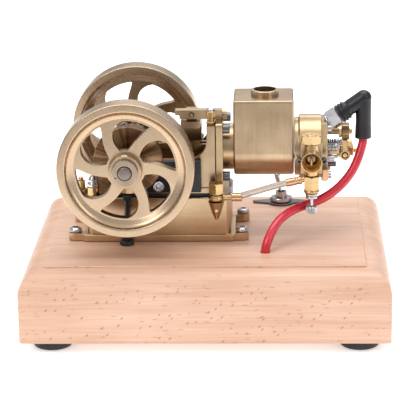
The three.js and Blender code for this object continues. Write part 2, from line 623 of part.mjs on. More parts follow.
// ---------------------------------------------------------------- mixer
// A tee: a pad that fits the round head, a neck under the plug, and a horn that faces outward.
function mixerBody() {
  const { x, y, z, mouth } = MIXER;
  const pad = block(x - 5, x + 5, -17.4, -12, z - 6.6, z + 8.2);
  const saddle = rod('x', [0, AXIS_Z], HEAD.radius + GAP, x - 8, x + 8, 36);
  const neck = rod('z', [x, y + 0.6], 4.2, z, z + 8.2, 16, 3.1);
  const boss = rod('z', [x, y], 2.8, z - 6.6, z, 16);
  const horn = rod('y', [x, z], mouth, y - 4.6, -16.5);
  const throat = rod('y', [x, z], mouth - 1.2, y - 6, y + 1);
  const duct = rod('y', [x, z], 2.4, y - 1, -10, 14);
  const plugHole = rod('z', [x, y + 1.2], 1.6, z + 5, z + 9, 12);
  const jetHole = rod('z', [x, y], 1.3, z - 8, z - 2, 12);
  return cut(join(pad, neck, boss, horn), saddle, throat, duct, plugHole, jetHole);
}

function mixerPlug() {
  const { x, y, z } = MIXER;
  const hex = rod('z', [x, y + 1.2], 4.3, z + 8.5, z + 12.2, 6);
  const shank = rod('z', [x, y + 1.2], 1.3, z + 6, z + 9, 12);
  return join(hex, shank);
}

// The jet holder: a hexagon nut on a rounded ring and washers, and a hose tail that points back to the tank.
function jetHolder() {
  const { x, y, z } = MIXER;
  const nut = rod('z', [x, y], 3.9, z - 13.2, z - 6.9, 6);
  const bead = [[0, 0], [3, 0], [3.6, 0.7], [3.6, 1.4], [3, 2.1], [0, 2.1]];
  const ring = turned('z', [x, y, z - 15.1], bead, 18);
  const washers = rod('z', [x, y], 2.7, z - 17.4, z - 15, 18);
  const lean = (body) => body.rotate([0, -102, 0]).translate(x, y, z - 7.8);
  const tail = lean(join(rod('z', [0, 0], 1.2, 2, 11, 12), rod('z', [0, 0], 1.8, 4.6, 10.4, 14)));
  const needleHole = rod('z', [x, y], 1, z - 18, z - 5, 12);
  return cut(join(nut, ring, washers, tail), needleHole);
}

function needleValve() {
  const { x, y, z } = MIXER;
  const stem = rod('z', [x, y], 0.7, z - 22, z - 8, 10);
  const knob = rod('z', [x, y], 2.6, z - 24.4, z - 21.4, 16);
  return join(stem, knob);
}

// ---------------------------------------------------------------- valve gear
function valve(y, retainerX) {
  const { z, stem, head } = VALVE;
  const tip = retainerX + 2.4;
  const profile = [
    [0, 43], [head, 43], [head, 43.5], [stem, 44.5], [stem, retainerX],
    [2.7, retainerX], [2.7, retainerX + 1],
    [stem, retainerX + 1.3], [stem, tip - 0.4], [0.35, tip], [0, tip],
  ];
  return turned('x', [0, y, z], profile, 16);
}

function valveSpring(y, retainerX) {
  const [a, b] = [HEAD.x1 + GAP, retainerX - GAP];
  const profile = [[1.5, a], [2.2, a], [2.2, b], [1.5, b], [1.5, a]];
  return turned('x', [0, y, VALVE.z], profile, 14);
}

function rockerBracket() {
  const foot1 = block(HEAD.x1 + GAP, HEAD.x1 + 1.8, 9.4, 16.4, 70.6, 77.6);
  const arm = block(HEAD.x1 + 1, ROCKER.x + 1, 12, 14.2, 72, 76.4);
  const pin = rod('y', [ROCKER.x, ROCKER.z], 1.2, 2.6, 25.2, 12);
  return join(foot1, arm, pin);
}

function rocker() {
  const { x, z, reach } = ROCKER;
  const hubs = [[2.9, 11.6], [14.6, 24.8]].map(([y0, y1]) => rod('y', [x, z], 2.5, y0, y1, 16));
  const upper = block(x - 1, x + 1, 2.9, 5.5, z, z + reach + 1.4);
  const lower = block(x - 1, x + 1, 21.6, 24.4, z - reach - 1.4, z);
  const yoke = block(x + 2.4, x + 4.2, 9.6, 16.8, z - 2, z + 2);
  const tabs = [[9.6, 11.6], [14.6, 16.8]].map(([y0, y1]) => block(x, x + 2.8, y0, y1, z - 2, z + 2));
  return cut(join(...hubs, upper, lower, yoke, ...tabs), rod('y', [x, z], 1.5, 2, 26, 12));
}

function pushrod() {
  const profile = [
    [0, CAM_X + 7.2], [2, CAM_X + 7.2], [2, CAM_X + 9], [1.1, CAM_X + 9.6], [1.1, ROCKER.x - 3],
    [0.6, ROCKER.x - 1 - GAP], [0, ROCKER.x - 1 - GAP],
  ];
  return turned('x', [0, PUSHROD_Y, CAM_Z], profile, 12);
}

function latchBar() {
  const bar = block(-14.6, 7.2, -6, -2, 94.2, 98.6);
  const catchNotch = block(-15, -12.6, -7, -1, 93, 96);
  return cut(bar, catchNotch, rod('y', [-7, 96.2], 1.2, -7, 0, 12));
}

function oilCup() {
  const profile = [[0, 0], [2.1, 0], [2.1, 4.4], [1.5, 4.9], [1.5, 6.4], [1, 7.4], [0, 7.6]];
  return turned('z', [2.1, -10, PLATE.top + GAP], profile, 16);
}

// A bar beside the far hub that swings outward on its pivot as the wheel speeds up.
function governorWeight(turn) {
  const bar = block(-12.5, 6, 26.5, 29.5, 5, 8.4);
  const bob = rod('y', [4.4, 7.2], 3, 26.5, 29.5, 16);
  const pivot = rod('y', [-12.4, 6.7], 2, 26.5, 34.7, 14);
  return join(bar, bob, pivot).rotate([0, turn, 0]).translate(CRANK_X, 0, AXIS_Z);
}

// ---------------------------------------------------------------- assembly
const engine = new THREE.Group();
const place = (name, body, material) => engine.add(meshOf(name, body, material));

place('wooden_base', woodenBase(), BEECH);
for (const [name, spot] of Object.entries(footPlaces())) place(`foot_${name}`, foot(spot), RUBBER);
place('base_cover', baseCover(), BLACK_PLASTIC);
place('battery_pack', batteryPack(), BLACK_PLASTIC);
place('ignition_module', ignitionModule(), BLACK_PLASTIC);
place('toggle_plate', togglePlate(), DARK_STEEL);
place('toggle_bushing', toggleBushing(), STEEL);
place('toggle_lever', toggleLever(), STEEL);
place('ignition_lead', tube(LEAD_ROUTE, LEAD_R, 24), RED_SILICONE);
place('sensor_cable', tube(CABLE_ROUTE, CABLE_R, 9), BLACK_PLASTIC);
place('cable_grommet', cableGrommet(), RUBBER);
place('sensor_bracket', sensorBracket(), BLACK_PLASTIC);

place('fuel_tank', fuelTank(), BRASS);
earPlaces().forEach((spot, i) => place(`tank_screw_${i + 1}`, tankScrew(spot), STEEL));
place('fuel_cap', fuelCap(), BRIGHT_BRASS);
place('tank_gasket', tankGasket(), RUBBER);
place('banjo_bolt', banjoBolt(), COPPER);
place('banjo_ring', banjoRing(), BRIGHT_BRASS);
place('fuel_line', tube(FUEL_ROUTE, FUEL_R, 9), CLEAR_TUBE);

place('engine_frame', engineFrame(), BRASS);
place('bearing_near', bearing(-16.6, -10.6), BRIGHT_BRASS);
place('bearing_far', bearing(10.6, 16.6), BRIGHT_BRASS);
place('crankshaft', crankshaft(), STEEL);
place('flywheel_near', flywheel(-FLYWHEEL.spacing / 2, SPOKE_START.near), BRASS);
place('flywheel_far', flywheel(FLYWHEEL.spacing / 2, SPOKE_START.far), BRASS);
place('hub_collar_near', hubCollar(-46.2, -44.6), STEEL);
place('hub_collar_far', hubCollar(44.6, 46.2), STEEL);
place('magnet_disc', magnetDisc(), BRASS);
place('crank_pinion', crankPinion(), BRASS);
place('cam_gear', camGear(), BRASS);
place('governor_weight_1', governorWeight(0), STEEL);
place('governor_weight_2', governorWeight(180), STEEL);
place('big_end', bigEnd(), BRIGHT_BRASS);
place('rod_fork', rodFork(), BRIGHT_BRASS);
place('wrist_pin', wristPin(), STEEL);
place('piston', piston(), DARK_STEEL);

place('cylinder', cylinder(), BRASS);
place('water_hopper', waterHopper(), BRASS);
place('cylinder_head', cylinderHead(), BRASS);
place('spark_plug', sparkPlug(), CERAMIC);
place('plug_boot', plugBoot(), BLACK_PLASTIC);
place('mixer_body', mixerBody(), BRIGHT_BRASS);
place('mixer_plug', mixerPlug(), BRIGHT_BRASS);
place('jet_holder', jetHolder(), BRIGHT_BRASS);
place('needle_valve', needleValve(), STEEL);

place('intake_valve', valve(VALVE.intakeY, INTAKE_RETAINER), STEEL);
place('intake_spring', valveSpring(VALVE.intakeY, INTAKE_RETAINER), STEEL);
place('exhaust_valve', valve(VALVE.exhaustY, EXHAUST_RETAINER), STEEL);
place('exhaust_spring', valveSpring(VALVE.exhaustY, EXHAUST_RETAINER), DARK_STEEL);
place('rocker_bracket', rockerBracket(), BRASS);
place('rocker', rocker(), BRASS);
place('pushrod', pushrod(), STEEL);
place('latch_bar', latchBar(), BRIGHT_BRASS);
place('oil_cup', oilCup(), BRIGHT_BRASS);

export default engine;
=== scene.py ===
import json
from math import asin, atan2, cos, degrees, hypot, pi, radians, sin

import bmesh
import bpy
from mathutils import Matrix, Vector

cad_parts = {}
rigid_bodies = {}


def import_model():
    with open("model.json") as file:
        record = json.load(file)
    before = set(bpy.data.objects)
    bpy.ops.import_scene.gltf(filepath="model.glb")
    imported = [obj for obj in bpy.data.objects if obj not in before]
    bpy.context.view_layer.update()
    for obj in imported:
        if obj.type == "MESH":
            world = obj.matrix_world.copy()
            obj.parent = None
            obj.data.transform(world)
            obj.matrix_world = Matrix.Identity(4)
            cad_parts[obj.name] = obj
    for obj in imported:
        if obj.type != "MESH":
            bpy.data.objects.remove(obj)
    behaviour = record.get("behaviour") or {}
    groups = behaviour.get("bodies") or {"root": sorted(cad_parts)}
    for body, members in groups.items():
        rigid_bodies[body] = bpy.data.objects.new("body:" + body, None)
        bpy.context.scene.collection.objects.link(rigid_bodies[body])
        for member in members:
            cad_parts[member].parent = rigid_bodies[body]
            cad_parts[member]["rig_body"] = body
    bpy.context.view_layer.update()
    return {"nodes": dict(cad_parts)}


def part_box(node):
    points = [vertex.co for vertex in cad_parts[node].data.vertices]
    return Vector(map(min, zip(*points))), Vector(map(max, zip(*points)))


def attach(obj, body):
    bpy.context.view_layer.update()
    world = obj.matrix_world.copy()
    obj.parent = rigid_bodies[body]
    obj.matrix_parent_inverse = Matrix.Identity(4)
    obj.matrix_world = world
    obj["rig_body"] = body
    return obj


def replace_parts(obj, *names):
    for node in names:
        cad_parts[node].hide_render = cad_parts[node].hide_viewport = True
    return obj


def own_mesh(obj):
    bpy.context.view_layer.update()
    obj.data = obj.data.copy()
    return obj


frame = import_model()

# Shapes are drawn in millimetres in the frame of the part, and scaled to metres when they are placed.
MM = 0.001
GAP = 0.3
TAU = 2 * pi


def span(node):
    """Lowest and highest corner of a CAD node, in millimetres."""
    low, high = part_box(node)
    return low / MM, high / MM


def centre(node):
    low, high = span(node)
    return (low + high) / 2


CRANK_X, _, AXIS_Z = centre("magnet_disc")
DECK = span("wooden_base")[1].z
THROW = 8
CAM_X, _, CAM_Z = centre("cam_gear")
BORE_R = 8.2
BARREL_R = 10.75
TANK_TOP = 59.6
FILLER_TOP = 61.6
EAR_TOP = 42.5
NECK = (27, 0)
PLUG = {"x": 51.4, "z": 87.5, "tilt": radians(35)}
BOOT_X = 72.8
MIXER = Vector((48.4, -19, 77.3))
VALVE_Z = 79.9
INTAKE_Y, EXHAUST_Y = -4.2, 4.2
ROCKER = {"x": 64.5, "z": 74.1, "reach": 5.8}
BANJO = (4.5, -21)
TOGGLE = (34.5, 43.5)

# The same routes as the design's, in metres.
LEAD_ROUTE = [
    (.0728, 0, .0832), (.0727, -.0002, .0816), (.0721, -.001, .0792), (.0701, -.003, .0734),
    (.0673, -.005, .0682), (.0635, -.007, .0637), (.0588, -.009, .0599), (.0534, -.011, .057),
    (.0478, -.013, .0553), (.0422, -.0165, .0543), (.0376, -.021, .0532), (.0336, -.0255, .0512),
    (.0309, -.0295, .0484), (.0288, -.0326, .0449), (.0274, -.0341, .041), (.0271, -.0343, .0375),
    (.0271, -.0343, .033),
]
FUEL_ROUTE = [
    (.0112, -.021, .0609), (.014, -.021, .0612), (.018, -.0209, .0622), (.0238, -.0205, .0638),
    (.0293, -.020, .0653), (.0335, -.0195, .0663), (.0372, -.019, .0671),
]
CABLE_ROUTE = [
    (-.0364, -.0224, .057), (-.0365, -.0226, .0545), (-.0368, -.0227, .051), (-.0371, -.0227, .0475),
    (-.0372, -.0226, .044), (-.0372, -.0226, .041), (-.0372, -.0226, .037), (-.0372, -.0226, .033),
]


# ---------------------------------------------------------------- camera
def camera():
    right = Vector((0.99932, 0.03419, -0.01411))
    up = Vector((0.00346, 0.29325, 0.95603))
    back = right.cross(up)
    data = bpy.data.cameras.new("camera")
    data.lens, data.sensor_width = 167.02, 36
    data.clip_start, data.clip_end = 0.05, 50
    obj = bpy.data.objects.new("camera", data)
    obj.matrix_world = Matrix((right, up, back)).transposed().to_4x4()
    obj.location = (0.03348, -0.87254, 0.31683)
    bpy.context.scene.collection.objects.link(obj)
    bpy.context.scene.camera = obj


def add(tree, kind, **values):
    """Adds a node; a value is a socket to link from or a plain setting for the input of that name."""
    node = tree.nodes.new(kind)
    for key, value in values.items():
        name = key.replace("_", " ")
        socket = next((s for s in node.inputs if s.name == name and s.enabled), None)
        if isinstance(value, bpy.types.NodeSocket):
            tree.links.new(value, socket)
        elif socket is not None:
            socket.default_value = value
        else:
            setattr(node, key, value)
    return node


def noise(tree, stretch, detail=2.0, turn=(0, 0, 0)):
    """Noise in the part's own coordinates, with this many cells per metre along x, y and z."""
    where = add(tree, "ShaderNodeTexCoord").outputs["Object"]
    mapping = add(tree, "ShaderNodeMapping", Vector=where, Rotation=turn, Scale=stretch)
    texture = add(tree, "ShaderNodeTexNoise", Vector=mapping.outputs[0], Scale=1.0, Detail=detail)
    return texture.outputs["Fac"]


def remap(tree, value, low, high, to_low, to_high):
    node = add(tree, "ShaderNodeMapRange", Value=value)
    for index, number in enumerate((low, high, to_low, to_high)):
        node.inputs[index + 1].default_value = number
    return node.outputs[0]


def mix(tree, factor, first, second, how="MIX"):
    node = tree.nodes.new("ShaderNodeMix")
    node.data_type, node.blend_type = "RGBA", how
    for index, value in ((0, factor), (6, first), (7, second)):
        if isinstance(value, bpy.types.NodeSocket):
            tree.links.new(value, node.inputs[index])
        else:
            node.inputs[index].default_value = value if index == 0 else (*value, 1)
    return node.outputs[2]


def calc(tree, operation, *values):
    node = tree.nodes.new("ShaderNodeMath")
    node.operation = operation
    for socket, value in zip(node.inputs, values):
        if isinstance(value, bpy.types.NodeSocket):
            tree.links.new(value, socket)
        else:
            socket.default_value = value
    return node.outputs[0]


def bump(tree, height, distance, below=None):
    node = add(tree, "ShaderNodeBump", Height=height, Distance=distance, Strength=1.0)
    if below is not None:
        tree.links.new(below, node.inputs["Normal"])
    return node.outputs[0]


def material(name, slot, **sockets):
    """A material with its own Principled shader, and the tree and shader to build on."""
    made = bpy.data.materials.new(name)
    made.use_nodes = True
    surface = made.node_tree.nodes["Principled BSDF"]
    for key, value in sockets.items():
        surface.inputs[key.replace("_", " ")].default_value = value
    return made, made.node_tree, surface


def shade(hex_color, factor=1.0):
    """Linear colour from an sRGB hex string."""
    values = [int(hex_color[i:i + 2], 16) / 255 for i in (1, 3, 5)]
    return tuple(factor * (v / 12.92 if v <= 0.04045 else ((v + 0.055) / 1.055) ** 2.4) for v in values)


def rings(tree, axis, middle, per_metre):
    """Turning marks: they circle an axis of the part on its faces, and run round it on its sides."""
    where = add(tree, "ShaderNodeTexCoord").outputs["Object"]
    split = add(tree, "ShaderNodeSeparateXYZ", Vector=where).outputs
    across = [split[name] for name in "XYZ" if name != axis]
    parts = [calc(tree, "SUBTRACT", value, at * MM) for value, at in zip(across, middle)]
    radius = calc(tree, "SQRT", calc(tree, "ADD", *[calc(tree, "POWER", part, 2.0) for part in parts]))
    reach = calc(tree, "MULTIPLY", calc(tree, "ADD", radius, split[axis]), per_metre)
    texture = add(tree, "ShaderNodeTexNoise", noise_dimensions="1D", Detail=2.0)
    tree.links.new(reach, texture.inputs["W"])
    return texture.outputs["Fac"], calc(tree, "ARCTAN2", parts[1], parts[0])


def metal(name, slot, light, dark, rough, streak, scratch=1.2e-6, cloud=70, turned=None, **sockets):
    """Metal with tool lines that run along the axis in which streak is smallest, and a cloudy tarnish."""
    made, tree, surface = material(name, slot, Metallic=1.0, **sockets)
    light, dark = shade(light), shade(dark)
    lines = rings(tree, *turned, 1100)[0] if turned else noise(tree, streak, 1)
    coarse = noise(tree, [s * 0.24 for s in streak], 2)
    tarnish = noise(tree, (cloud, cloud, cloud), 4)
    grime = noise(tree, (900, 900, 900), 3)
    color = mix(tree, remap(tree, tarnish, 0.35, 0.68, 0, 1), light, dark)
    color = mix(tree, remap(tree, lines, 0.3, 0.7, 0, 0.16), color, tuple(0.65 * c for c in dark))
    color = mix(tree, remap(tree, coarse, 0.35, 0.65, 0, 0.14), color, tuple(min(1, 1.2 * c) for c in light))
    tree.links.new(color, surface.inputs["Base Color"])
    uneven = calc(tree, "ADD", remap(tree, lines, 0.2, 0.8, -0.012, 0.012),
                  remap(tree, grime, 0.3, 0.7, -0.01, 0.01))
    tree.links.new(calc(tree, "ADD", uneven, rough), surface.inputs["Roughness"])
    relief = bump(tree, lines, scratch, bump(tree, coarse, 2 * scratch))
    tree.links.new(relief, surface.inputs["Normal"])
    return made


def soft_plastic(name, slot, light, dark, rough, grain=1800, depth=1.2e-5, **sockets):
    """Rubber or plastic: a faint mottle, a fine moulded grain and slightly uneven gloss."""
    made, tree, surface = material(name, slot, **sockets)
    light, dark = shade(light), shade(dark)
    mottle = noise(tree, (120, 120, 120), 3)
    fine = noise(tree, (grain, grain, grain), 2)
    tree.links.new(mix(tree, remap(tree, mottle, 0.3, 0.7, 0, 1), light, dark), surface.inputs["Base Color"])
    tree.links.new(remap(tree, mottle, 0.3, 0.7, rough - 0.05, rough + 0.06), surface.inputs["Roughness"])
    tree.links.new(bump(tree, fine, depth), surface.inputs["Normal"])
    return made


def flecks(tree, stretch, turn, size, share):
    """1 inside short dashes: one in each cell of a stretched lattice, in this share of the cells."""
    where = add(tree, "ShaderNodeTexCoord").outputs["Object"]
    turned = add(tree, "ShaderNodeMapping", Vector=where, Rotation=turn)
    mapping = add(tree, "ShaderNodeMapping", Vector=turned.outputs[0], Scale=stretch)
    cells = add(tree, "ShaderNodeTexVoronoi", Vector=mapping.outputs[0], Scale=1.0)
    inside = remap(tree, cells.outputs["Distance"], size, 0.55 * size, 0, 1)
    red = add(tree, "ShaderNodeSeparateColor", Color=cells.outputs["Color"]).outputs[0]
    return calc(tree, "MULTIPLY", inside, calc(tree, "LESS_THAN", red, share))


def beech():
    """Varnished beech: pink-brown, with faint growth lines along X and short dark rays on the long faces."""
    made, tree, surface = material("beech", "beech", Coat_Weight=0.18, Coat_Roughness=0.3)
    growth = noise(tree, (6, 160, 210), 4)
    fibre = noise(tree, (45, 1500, 1500), 3)
    blotch = noise(tree, (22, 30, 45), 3)
    color = mix(tree, remap(tree, blotch, 0.3, 0.7, 0, 1), shade("#debaa2"), shade("#d4ac92"))
    color = mix(tree, remap(tree, growth, 0.38, 0.64, 0, 0.48), color, shade("#c69374"))
    color = mix(tree, remap(tree, fibre, 0.42, 0.7, 0, 0.26), color, shade("#a87656"))
    normal = add(tree, "ShaderNodeNewGeometry").outputs["Normal"]
    facing = calc(tree, "ABSOLUTE", add(tree, "ShaderNodeSeparateXYZ", Vector=normal).outputs["Y"])
    slanted = flecks(tree, (290, 40, 680), (0, radians(40), 0), 0.3, 0.3)
    slanted = calc(tree, "MULTIPLY", slanted, remap(tree, facing, 0.8, 0.99, 0, 0.62))
    level = flecks(tree, (170, 420, 760), (0, 0, 0), 0.28, 0.3)
    level = calc(tree, "MULTIPLY", level, remap(tree, facing, 0.0, 0.6, 0.16, 0.42))
    color = mix(tree, slanted, color, shade("#8f5a3b"))
    color = mix(tree, level, color, shade("#9b6647"))
    tree.links.new(color, surface.inputs["Base Color"])
    tree.links.new(remap(tree, fibre, 0.3, 0.7, 0.4, 0.52), surface.inputs["Roughness"])
    tree.links.new(bump(tree, fibre, 2.5e-5), surface.inputs["Normal"])
    return made


def disc_brass_painted_reflections():
    """Dark turned brass with painted reflections: wedge-shaped painted highlights and painted shade that
    spread out from the axle.
    """
    made = metal("disc_brass_painted_reflections", "brass", "#8d6c4d", "#6b5039", 0.3, (700, 60, 700), turned=CRANK_AXIS,
                 Anisotropic=0.6)
    tree = made.node_tree
    surface = tree.nodes["Principled BSDF"]
    tangent = add(tree, "ShaderNodeTangent", direction_type="RADIAL", axis="Y")
    tree.links.new(tangent.outputs[0], surface.inputs["Tangent"])
    turn = rings(tree, *CRANK_AXIS, 1)[1]
    # Painted reflections: a noise round the axle lightens and darkens the colour in streaks, as painted
    # highlight and painted shade.
    painted_reflection_noise = add(tree, "ShaderNodeTexNoise", noise_dimensions="1D", Scale=2.3, Detail=4.0)
    tree.links.new(turn, painted_reflection_noise.inputs["W"])
    below = surface.inputs["Base Color"].links[0].from_socket
    painted_reflection_colour = mix(tree, remap(tree, painted_reflection_noise.outputs["Fac"], 0.5, 0.66, 0, 0.75), below, shade("#dcb78c"))
    painted_reflection_colour = mix(tree, remap(tree, painted_reflection_noise.outputs["Fac"], 0.46, 0.34, 0, 0.6), painted_reflection_colour, shade("#3a291f"))
    tree.links.new(painted_reflection_colour, surface.inputs["Base Color"])
    return made


def clear_hose():
    """A cloudy, slightly yellow fuel hose."""
    made, tree, surface = material("clear_hose", "clear_tube", Transmission_Weight=0.5, IOR=1.42)
    cloud = noise(tree, (300, 900, 900), 3)
    tree.links.new(mix(tree, cloud, shade("#e6dcd2"), shade("#cdbfb2")), surface.inputs["Base Color"])
    tree.links.new(remap(tree, cloud, 0.3, 0.7, 0.18, 0.3), surface.inputs["Roughness"])
    return made


FINE = 1700
LOW = 90
CRANK_AXIS = ("Y", (CRANK_X, AXIS_Z))
BORE_AXIS = ("X", (0, AXIS_Z))
WHEEL = metal("wheel_brass", "brass", "#ceb597", "#b59d83", 0.28, (LOW, FINE, LOW),
              1e-7, 40, CRANK_AXIS)
BRUSHED_X = metal("brass_along_x", "brass", "#cdb391", "#b69b7b", 0.3, (LOW, FINE, FINE), 2.5e-7)
BRUSHED_Z = metal("brass_along_z", "brass", "#c0a889", "#a99075", 0.29, (FINE, FINE, LOW))
TURNED_X = metal("brass_turned_x", "brass", "#c8ae8a", "#b29976", 0.3, (FINE, LOW, LOW), 6e-7,
                 turned=BORE_AXIS)
TURNED_Y = metal("brass_turned_y", "brass", "#c3a67e", "#a6865f", 0.27, (LOW, FINE, LOW))
GOLD = metal("bright_brass", "bright_brass", "#d3b688", "#bd9d6c", 0.24, (LOW, LOW, FINE), 4e-7)
COPPER = metal("copper_plate", "copper", "#dcb38c", "#c1926b", 0.26, (LOW, LOW, FINE), 8e-7)
STEEL = metal("bright_steel", "steel", "#cfcdd0", "#aaa9ae", 0.2, (LOW, LOW, FINE), 8e-7)
TURNED_STEEL = metal("turned_steel", "steel", "#bba894", "#9a8773", 0.24, (LOW, FINE, LOW),
                     turned=CRANK_AXIS)
SHAFT_STEEL = metal("shaft_steel", "steel", "#a3958d", "#7f736d", 0.3, (LOW, FINE, LOW), turned=CRANK_AXIS)
DARK_STEEL = metal("dark_steel", "dark_metal", "#7b7c82", "#55565b", 0.3, (LOW, LOW, FINE), 1e-6)
BLACK = soft_plastic("black_plastic", "black_plastic", "#1c1e26", "#12131a", 0.4)
RUBBER = soft_plastic("foot_rubber", "rubber", "#1f1f27", "#15151a", 0.5, 1200, 2e-5)
BOOT = soft_plastic("boot_rubber", "boot_rubber", "#13121c", "#0c0b13", 0.32, 2200)
SILICONE = soft_plastic("red_silicone", "red_silicone", "#d42a3c", "#b91b2e", 0.25, 700, 1e-5,
                        Coat_Weight=0.35, Coat_Roughness=0.12)
CERAMIC = soft_plastic("ceramic", "ceramic", "#f3f2ee", "#e4e2dc", 0.12, 1500, 4e-6)
WOOD = beech()
DISC_PAINTED_REFLECTIONS = disc_brass_painted_reflections()
HOSE = clear_hose()


# ---------------------------------------------------------------- drawing
def mesh_of(points, faces):
    """An object in millimetres, with its faces pointing out."""
    mesh = bpy.data.meshes.new("work")
    mesh.from_pydata([tuple(p) for p in points], [], faces)
    work = bmesh.new()
    work.from_mesh(mesh)
    bmesh.ops.remove_doubles(work, verts=work.verts, dist=1e-5)
    bmesh.ops.recalc_face_normals(work, faces=work.faces)
    work.to_mesh(mesh)
    work.free()
    obj = bpy.data.objects.new("work", mesh)
    bpy.context.scene.collection.objects.link(obj)
    return obj


def along(axis, u, v, h):
    return {"x": (h, u, v), "y": (u, h, v), "z": (u, v, h)}[axis]


def arc(middle, radius, start, end, steps=16):
    """Points on an arc, with the angles in degrees."""
    turns = [radians(start + (end - start) * i / steps) for i in range(steps + 1)]
    return [(middle[0] + radius * cos(t), middle[1] + radius * sin(t)) for t in turns]


def circle(middle, radius, sides=64, start=0.0):
    return arc(middle, radius, start, start + 360, sides)[:-1]


def rounded_rectangle(u0, u1, v0, v1, radius, steps=6):
    corners = [(u1 - radius, v0 + radius, -90), (u1 - radius, v1 - radius, 0),
               (u0 + radius, v1 - radius, 90), (u0 + radius, v0 + radius, 180)]
    return [p for u, v, start in corners for p in arc((u, v), radius, start, start + 90, steps)]


def eased(outline, radius, closed=True, steps=4):
    """Rounds each corner of an outline or of a turned profile."""
    count, out = len(outline), []
    for i, corner in enumerate(outline):
        if not closed and i in (0, count - 1):
            out.append(tuple(corner))
            continue
        here = Vector(corner)
        back, ahead = Vector(outline[i - 1]) - here, Vector(outline[(i + 1) % count]) - here
        size = min(radius, 0.45 * back.length, 0.45 * ahead.length)
        start, end = here + back.normalized() * size, here + ahead.normalized() * size
        for t in (k / steps for k in range(steps + 1)):
            out.append(tuple(start * (1 - t) ** 2 + here * 2 * t * (1 - t) + end * t * t))
    return out


def lathe(axis, middle, profile, sides=72, round_by=0.0):
    """Turns a profile of (radius, height) pairs, which ends on the axis or closes on itself."""
    closed = profile[0][0] > 1e-6
    if round_by:
        profile = eased(profile, round_by, closed)
    points, rings = [], []
    for radius, height in profile:
        count = sides if radius > 1e-6 else 1
        rings.append(range(len(points), len(points) + count))
        for i in range(count):
            turn = TAU * i / sides
            points.append(along(axis, middle[0] + radius * cos(turn), middle[1] + radius * sin(turn), height))
    faces = []
    for lower, upper in zip(rings, rings[1:] + (rings[:1] if closed else [])):
        for i in range(sides):
            j = (i + 1) % sides
            ring = [lower[i % len(lower)], lower[j % len(lower)], upper[j % len(upper)],
                    upper[i % len(upper)]]
            face = list(dict.fromkeys(ring))
            if len(face) > 2:
                faces.append(face)
    return mesh_of(points, faces)


def prism(axis, outline, a, b):
    count = len(outline)
    points = [along(axis, u, v, h) for h in (a, b) for u, v in outline]
    sides = [(i, (i + 1) % count, count + (i + 1) % count, count + i) for i in range(count)]
    return mesh_of(points, [tuple(range(count)), tuple(range(count, 2 * count)), *sides])


def rod(axis, middle, radius, a, b, sides=64):
    return prism(axis, circle(middle, radius, sides), a, b)


def peg(axis, middle, radius, a, b, sides=72, round_by=0.0):
    """A turned cylinder whose rims can be rounded."""
    return lathe(axis, middle, [(0, a), (radius, a), (radius, b), (0, b)], sides, round_by)


def block(x0, x1, y0, y1, z0, z1):
    return prism("z", [(x0, y0), (x1, y0), (x1, y1), (x0, y1)], z0, z1)


def hexagon(axis, middle, radius, a, b, start=0.0, chamfer=0.35):
    """A hexagon nut or head whose corners are chamfered at both ends, as a turned blank trims them."""
    nut = prism(axis, circle(middle, radius, 6, start), a, b)
    blank = lathe(axis, middle, [(0, a), (radius * 0.9, a), (radius * 1.01, a + chamfer),
                                 (radius * 1.01, b - chamfer),
                                 (radius * 0.9, b), (0, b)], 64)
    return soften(common(nut, blank), 0.12, 2)


def bake(obj):
    graph = bpy.context.evaluated_depsgraph_get()
    mesh = bpy.data.meshes.new_from_object(obj.evaluated_get(graph))
    obj.modifiers.clear()
    obj.data = mesh
    return obj


def combine(body, tools, operation):
    for tool in tools:
        modifier = body.modifiers.new("combine", "BOOLEAN")
        modifier.operation, modifier.object, modifier.solver = operation, tool, "EXACT"
        bake(body)
        bpy.data.objects.remove(tool)
    return body


def join(body, *tools):
    return combine(body, tools, "UNION")


def cut(body, *tools):
    return combine(body, tools, "DIFFERENCE")


def common(body, tool):
    return combine(body, [tool], "INTERSECT")


def soften(obj, width, segments=3, angle=32):
    """Rounds the edges that are sharper than an angle."""
    modifier = obj.modifiers.new("soften", "BEVEL")
    modifier.width, modifier.segments = width, segments
    modifier.limit_method, modifier.angle_limit = "ANGLE", radians(angle)
    modifier.miter_outer = "MITER_ARC"
    return bake(obj)


def group(*objects):
    """Several closed shells as one object."""
    work = bmesh.new()
    for obj in objects:
        work.from_mesh(obj.data)
    work.to_mesh(objects[0].data)
    work.free()
    for obj in objects[1:]:
        bpy.data.objects.remove(obj)
    return objects[0]


def moved(obj, matrix):
    obj.data.transform(matrix)
    return obj


def shifted(obj, x, y, z):
    return moved(obj, Matrix.Translation((x, y, z)))


def smooth_line(points, steps=6):
    """Catmull-Rom points through a route."""
    line = [Vector(p) for p in points]
    padded = [2 * line[0] - line[1], *line, 2 * line[-1] - line[-2]]
    out = []
    for a, b, c, d in zip(padded, padded[1:], padded[2:], padded[3:]):
        for t in (k / steps for k in range(steps)):
            out.append(0.5 * (2 * b + (c - a) * t + (2 * a - 5 * b + 4 * c - d) * t * t
                              + (3 * b - a - 3 * c + d) * t ** 3))
    return [*out, line[-1]]


def wire(name, points, radius, sides=8):
    """A round curve object along points, in the same units as the points."""
    data = bpy.data.curves.new(name, "CURVE")
    data.dimensions, data.bevel_depth, data.bevel_resolution = "3D", radius, sides
    data.use_fill_caps = True
    spline = data.splines.new("POLY")
    spline.points.add(len(points) - 1)
    for point, place in zip(spline.points, points):
        point.co = (*place, 1)
    obj = bpy.data.objects.new(name, data)
    bpy.context.scene.collection.objects.link(obj)
    return obj


def tube(points, radius, sides=6):
    """A round closed mesh along points, in millimetres."""
    obj = wire("work", points, radius, sides)
    graph = bpy.context.evaluated_depsgraph_get()
    mesh = bpy.data.meshes.new_from_object(obj.evaluated_get(graph))
    bpy.data.objects.remove(obj)
    work = bmesh.new()
    work.from_mesh(mesh)
    bmesh.ops.remove_doubles(work, verts=work.verts, dist=1e-4)
    work.to_mesh(mesh)
    work.free()
    made = bpy.data.objects.new("work", mesh)
    bpy.context.scene.collection.objects.link(made)
    return made


